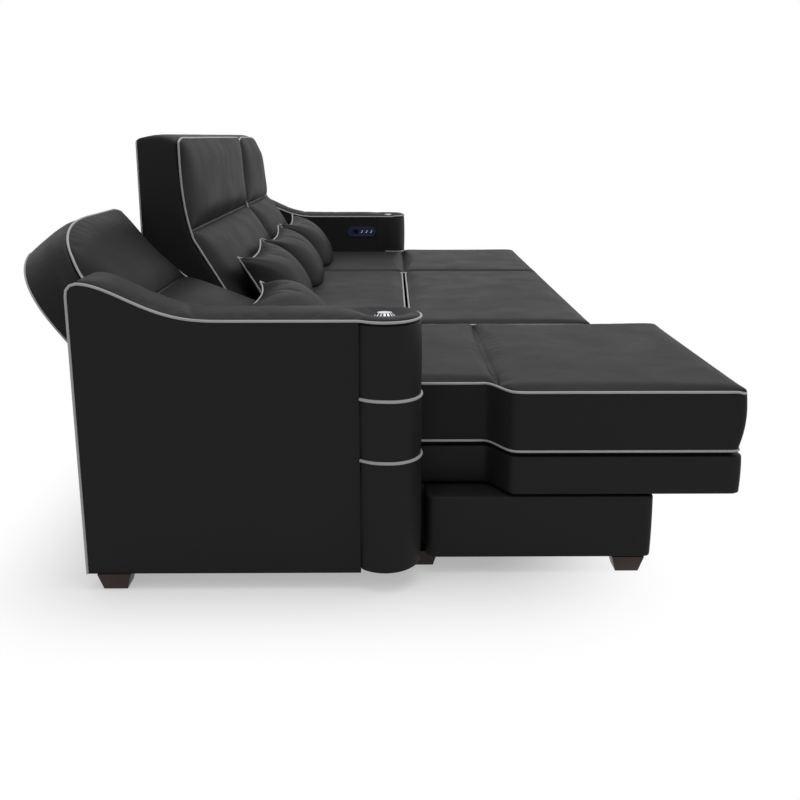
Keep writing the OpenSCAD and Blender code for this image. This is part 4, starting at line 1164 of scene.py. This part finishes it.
def column_bands(side, place):
    """Two bands of piping round a column, which fall a little to its front and sink in on its inner side."""
    first = math.asin((CREASE - 2 * MM - COLUMN_Y) / COLUMN_RY)
    turn = np.linspace(first, -math.pi - first, 50)
    out = MM * (1 - 4 * smooth(-1.5 * np.cos(turn)))
    x = COLUMN_X + (COLUMN_RX + out) * np.cos(turn)
    y = COLUMN_Y + (COLUMN_RY + out) * np.sin(turn)
    fall = BAND_FALL * np.clip(-np.sin(turn), 0, 1)
    piping(side + "_column_piping", [np.stack([x, y, z - fall], -1) for z in BANDS], place, "frame", BAND_R)


for side, place, seed in (("right", CLOSED, 61), ("left", MIRRORED, 64)):
    arm_body(side, place, seed)
    arm_top(side, place, seed + 1)
    column_bands(side, place)

stuff_pads()


# Hard pieces
SHARP = math.radians(35)


def choose(test):
    """Selects the faces of the edited mesh whose centre and normal pass a test, and no others."""
    bpy.ops.mesh.select_mode(type="FACE")
    bpy.ops.mesh.select_all(action="DESELECT")
    mesh = bpy.context.object.data
    edited = bmesh.from_edit_mesh(mesh)
    for face in edited.faces:
        face.select_set(bool(test(face.calc_center_median(), face.normal)))
    bmesh.update_edit_mesh(mesh)


def edit_new():
    """Starts to edit the new primitive, with its place and turn in its mesh."""
    bpy.ops.object.transform_apply(location=True, rotation=True, scale=True)
    bpy.ops.object.mode_set(mode="EDIT")


def join_all(parts):
    """Starts to edit one piece that is joined from parts, the last of them active."""
    for part in parts:
        part.select_set(True)
    bpy.ops.object.join()
    bpy.ops.object.mode_set(mode="EDIT")


def finish_hard(name, material, place, body, nodes=(), bevel=0):
    """Bevels the edited piece, shades it and puts it in its place."""
    bpy.ops.object.mode_set(mode="OBJECT")
    piece = bpy.context.object
    piece.name = piece.data.name = name
    piece.data.materials.clear()
    piece.data.materials.append(material)
    if bevel:
        apply_modifier(piece, "BEVEL", width=bevel, segments=2, limit_method="ANGLE", angle_limit=SHARP)
    select_only(piece)
    bpy.ops.object.shade_smooth_by_angle(angle=SHARP)
    finish_piece(piece, place, body, nodes)


def extrude_up(height):
    bpy.ops.mesh.extrude_region_move(TRANSFORM_OT_translate={"value": (0, 0, height)})


CAP_FOOT = 1.2 * MM
CAP_R = 24 * MM
CAP_LEDGE = 1.5 * MM
CAP_TOP_R = 17 * MM
CAP_RISE = 6.5 * MM
CAP_LIP = 0.6 * MM
CAP_WALL = 1.2 * MM
SLOT_DEPTH = 0.8 * MM
SLOTS = 14


def cone(foot, top, rise):
    """Starts a low cone on a flat foot, with a lip round its dished top."""
    bpy.ops.object.select_all(action="DESELECT")
    bpy.ops.mesh.primitive_cylinder_add(vertices=8 * SLOTS, radius=foot, depth=CAP_FOOT,
                                        location=(CAP_X, CAP_Y, cap_low.z + CAP_FOOT / 2))
    edit_new()
    choose(lambda centre, normal: normal.z > 0.9)
    bpy.ops.mesh.inset(thickness=CAP_LEDGE)
    extrude_up(rise)
    share = top / (foot - CAP_LEDGE)
    bpy.ops.transform.resize(value=(share, share, 1))
    extrude_up(CAP_LIP)
    bpy.ops.mesh.inset(thickness=2 * MM)
    extrude_up(-0.5 * MM)
    bpy.ops.mesh.inset(thickness=8 * MM)
    bpy.ops.transform.translate(value=(0, 0, CAP_LIP))


def in_slot(centre, normal):
    """Whether a face of the cap's cone lies in one of its slots, which take half of its round."""
    turn = math.atan2(centre.y - CAP_Y, centre.x - CAP_X) / (2 * math.pi) * SLOTS % 1
    return 0.3 < normal.z < 0.95 and 0.25 < turn < 0.75


def cap(side, place):
    """Chrome-plated cap with a flat foot and a slotted cone, over a dark core."""
    cone(CAP_R, CAP_TOP_R, CAP_RISE)
    choose(in_slot)
    bpy.ops.mesh.extrude_region_shrink_fatten(TRANSFORM_OT_shrink_fatten={"value": -SLOT_DEPTH})
    bpy.ops.mesh.delete(type="FACE")
    finish_hard(side + "_chrome_cap", CHROME, place, "frame", [side + "_cap"])
    cone(CAP_R - CAP_WALL, CAP_TOP_R - CAP_WALL, CAP_RISE - MM)
    finish_hard(side + "_cap_core", INSERT_PLASTIC, place, "frame")


def pill(x, y, z, length, height, depth):
    """Starts a pill-shaped plate whose front faces -X: a short cylinder with its halves drawn apart.
    It is turned by half a side, so that no point of it lies in the middle."""
    sides = 48
    bpy.ops.object.select_all(action="DESELECT")
    bpy.ops.mesh.primitive_cylinder_add(vertices=sides, radius=height / 2, depth=depth, location=(x, y, z),
                                        rotation=(math.pi / sides, math.pi / 2, 0))
    edit_new()
    bpy.ops.mesh.select_all(action="DESELECT")
    mesh = bpy.context.object.data
    for way in (-1, 1):
        bpy.ops.mesh.select_mode(type="VERT")
        bpy.ops.mesh.select_all(action="DESELECT")
        edited = bmesh.from_edit_mesh(mesh)
        for point in edited.verts:
            point.select_set((point.co.y - y) * way > 0 and abs(point.co.y - y) < height / 2 + 0.1 * MM)
        bmesh.update_edit_mesh(mesh)
        bpy.ops.transform.translate(value=(0, way * (length - height) / 2, 0))


PANEL_Y = (panel_low.y + panel_high.y) / 2
PANEL_Z = (panel_low.z + panel_high.z) / 2
PANEL_L = panel_high.y - panel_low.y
PANEL_H = panel_high.z - panel_low.z
PANEL_FACE = panel_low.x
RIM_OUT = 3 * MM
RIM_W = 4 * MM
RIM_T = 3 * MM
INSERT_Y = 114 * MM
INSERT_L = 34 * MM
INSERT_H = 26 * MM
INSERT_T = 1.4 * MM


def control_panel(side, place):
    """Raised rim and glossy insert on the moulded panel of an arm."""
    pill(PANEL_FACE + 0.2 * MM, PANEL_Y, PANEL_Z, PANEL_L + RIM_OUT, PANEL_H + RIM_OUT, RIM_T)
    choose(lambda centre, normal: abs(normal.x) > 0.9)
    bpy.ops.mesh.inset(thickness=RIM_W)
    bpy.ops.mesh.delete(type="FACE")
    bpy.ops.mesh.select_mode(type="EDGE")
    bpy.ops.mesh.select_all(action="DESELECT")
    bpy.ops.mesh.select_non_manifold()
    bpy.ops.mesh.bridge_edge_loops()
    bpy.ops.mesh.select_all(action="SELECT")
    bpy.ops.mesh.normals_make_consistent(inside=False)
    finish_hard(side + "_panel_rim", PANEL_PLASTIC, place, "frame", bevel=0.8 * MM)
    pill(PANEL_FACE - 0.2 * MM, INSERT_Y, PANEL_Z, INSERT_L, INSERT_H, INSERT_T)
    choose(lambda centre, normal: normal.x < -0.9)
    bpy.ops.mesh.inset(thickness=2 * MM)
    bpy.ops.transform.translate(value=(0.3 * MM, 0, 0))
    finish_hard(side + "_panel_insert", INSERT_PLASTIC, place, "frame", bevel=0.3 * MM)


DOT_R = 2.8 * MM
DOT_T = 0.8 * MM


def button(side, name, place):
    """Push button with a dished face and two glowing dots, which are painted highlights."""
    node = "right_button_" + name
    low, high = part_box(node)
    y, z = (low.y + high.y) / 2, (low.z + high.z) / 2
    body = side + "_button_" + name
    bpy.ops.object.select_all(action="DESELECT")
    bpy.ops.mesh.primitive_cylinder_add(vertices=48, radius=(high.z - low.z) / 2, depth=high.x - low.x,
                                        location=((low.x + high.x) / 2, y, z), rotation=(0, math.pi / 2, 0))
    edit_new()
    choose(lambda centre, normal: normal.x < -0.9)
    bpy.ops.mesh.inset(thickness=1.4 * MM)
    bpy.ops.mesh.inset(thickness=2.5 * MM)
    bpy.ops.transform.translate(value=(0.6 * MM, 0, 0))
    finish_hard(body + "_face", BUTTON_PLASTIC, place, body, [body], 0.5 * MM)
    # The two dots are painted highlights: pale glowing discs set slantwise on the button's face
    dots = []
    for way in (-1, 1):
        spot = (low.x + 0.6 * MM, y - way * 2.2 * MM, z + way * 4.1 * MM)
        bpy.ops.object.select_all(action="DESELECT")
        bpy.ops.mesh.primitive_cylinder_add(vertices=20, radius=DOT_R, depth=DOT_T, location=spot,
                                            rotation=(0, math.pi / 2, 0))
        bpy.ops.object.transform_apply(location=True, rotation=True, scale=True)
        dots.append(bpy.context.object)
    join_all(dots)
    finish_hard(body + "_highlight_dots", HIGHLIGHT_GLOW, place, body, bevel=0.15 * MM)


for side, place in (("right", CLOSED), ("left", MIRRORED)):
    cap(side, place)
    control_panel(side, place)
    for name in ("front", "middle", "rear"):
        button(side, name, place)


# Feet: five under each end section and one under the middle
FOOT_TOP = 80 * MM
FOOT_TIP = 57 * MM
FOOT_FRONT = base_low.y + 56 * MM
end_feet = [(ARM_OUT - 36 * MM, ARM_REAR - 62 * MM), (X_WIDE - 40 * MM, FOOT_FRONT),
            (X_OUT + 14 * MM, base_high.y + 8 * MM), (base_low.x, FOOT_FRONT),
            (base_low.x, ARM_REAR - 92 * MM)]
feet = []
for x, y in [(way * x, y) for way in (-1, 1) for x, y in end_feet] + [(0, 0)]:
    bpy.ops.object.select_all(action="DESELECT")
    bpy.ops.mesh.primitive_cube_add(size=1, location=(x, y, FLOOR_END / 2),
                                    scale=(FOOT_TOP, FOOT_TOP, FLOOR_END))
    edit_new()
    choose(lambda centre, normal: normal.z < -0.9)
    bpy.ops.transform.resize(value=(FOOT_TIP / FOOT_TOP, FOOT_TIP / FOOT_TOP, 1))
    bpy.ops.mesh.inset(thickness=4 * MM)
    bpy.ops.object.mode_set(mode="OBJECT")
    feet.append(bpy.context.object)
join_all(feet)
finish_hard("wood_feet", FOOT_WOOD, CLOSED, "frame", ["feet"], 2 * MM)


# Finishes of the CAD pieces that stay
# Pieces with no other finish take the darker side leather, whose darker colour is painted shade
FINISHES = (("rail", STEEL), ("bracket", STEEL), ("pins", STEEL), ("rod", STEEL),
            ("actuator", MOTOR_PLASTIC), ("supply", MOTOR_PLASTIC), ("runners", BOARD),
            ("control_panel", PANEL_PLASTIC), ("", SHADED_SIDE_LEATHER))
for name, node in frame["nodes"].items():
    finish = next(material for word, material in FINISHES if word in name)
    node.data.materials.clear()
    node.data.materials.append(finish)


# Stage: a white floor that fades into the white background round the sofa, and one broad lamp overhead
bpy.ops.object.select_all(action="DESELECT")
bpy.ops.mesh.primitive_plane_add(size=60, location=(0, 0, 0))
floor = bpy.context.object
floor.name = "floor"
floor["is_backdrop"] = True
paint, tree, shader, place = new_material("matt_white_floor", Base_Color=linear("#ffffff"), Roughness=1.0,
                                          Specular_IOR_Level=0.0)
floor.data.materials.append(paint)


def seen(tree):
    """1 for rays from the camera, from mirrors and through glass, and 0 for those that light the scene."""
    path = add(tree, "ShaderNodeLightPath")
    both = add(tree, "ShaderNodeMath", {"operation": "MAXIMUM"})
    tree.links.new(path.outputs["Is Camera Ray"], both.inputs[0])
    tree.links.new(path.outputs["Is Glossy Ray"], both.inputs[1])
    every = add(tree, "ShaderNodeMath", {"operation": "MAXIMUM"})
    tree.links.new(both.outputs[0], every.inputs[0])
    tree.links.new(path.outputs["Is Transmission Ray"], every.inputs[1])
    return every.outputs[0]


# The floor shows the sofa's shade, and half a metre from its footprint it is as white as the background
FOOTPRINT_MIDDLE = (0, 0.13, 0)
FOOTPRINT_HALF = (1.55, 0.42, 0)
away = place
for operation, value in (("SUBTRACT", FOOTPRINT_MIDDLE), ("ABSOLUTE", None), ("SUBTRACT", FOOTPRINT_HALF),
                         ("MAXIMUM", (0, 0, 0)), ("LENGTH", None)):
    step = add(tree, "ShaderNodeVectorMath", {"operation": operation})
    tree.links.new(away, step.inputs[0])
    if value:
        step.inputs[1].default_value = value
    away = step.outputs["Value" if operation == "LENGTH" else "Vector"]
far = add(tree, "ShaderNodeMapRange", {"interpolation_type": "SMOOTHSTEP"}, Value=away,
          From_Min=0.0, From_Max=0.5, To_Min=0.4, To_Max=1.0)
share = add(tree, "ShaderNodeMath", {"operation": "MULTIPLY"})
tree.links.new(far.outputs["Result"], share.inputs[0])
tree.links.new(seen(tree), share.inputs[1])
white = add(tree, "ShaderNodeEmission", Color=(1, 1, 1, 1), Strength=1.0)
mix = add(tree, "ShaderNodeMixShader", Fac=share.outputs[0])
tree.links.new(shader.outputs[0], mix.inputs[1])
tree.links.new(white.outputs[0], mix.inputs[2])
tree.links.new(mix.outputs[0], tree.nodes["Material Output"].inputs["Surface"])

world = bpy.data.worlds.new("studio")
scene.world = world
world.use_nodes = True
tree = world.node_tree
dim = tree.nodes["Background"]
dim.inputs["Color"].default_value = (1, 1, 1, 1)
dim.inputs["Strength"].default_value = 0.5
bright = add(tree, "ShaderNodeBackground", Color=(1, 1, 1, 1), Strength=1.0)
mix = add(tree, "ShaderNodeMixShader", Fac=seen(tree))
tree.links.new(dim.outputs[0], mix.inputs[1])
tree.links.new(bright.outputs[0], mix.inputs[2])
tree.links.new(mix.outputs[0], tree.nodes["World Output"].inputs["Surface"])

bpy.ops.object.light_add(type="AREA", location=(0, -0.6, 4.2))
lamp = bpy.context.object
lamp.name = "overhead_lamp"
lamp.data.shape = "RECTANGLE"
lamp.data.size = 6
lamp.data.size_y = 4.5
lamp.data.energy = 110

scene.view_settings.view_transform = "Standard"

low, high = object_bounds()
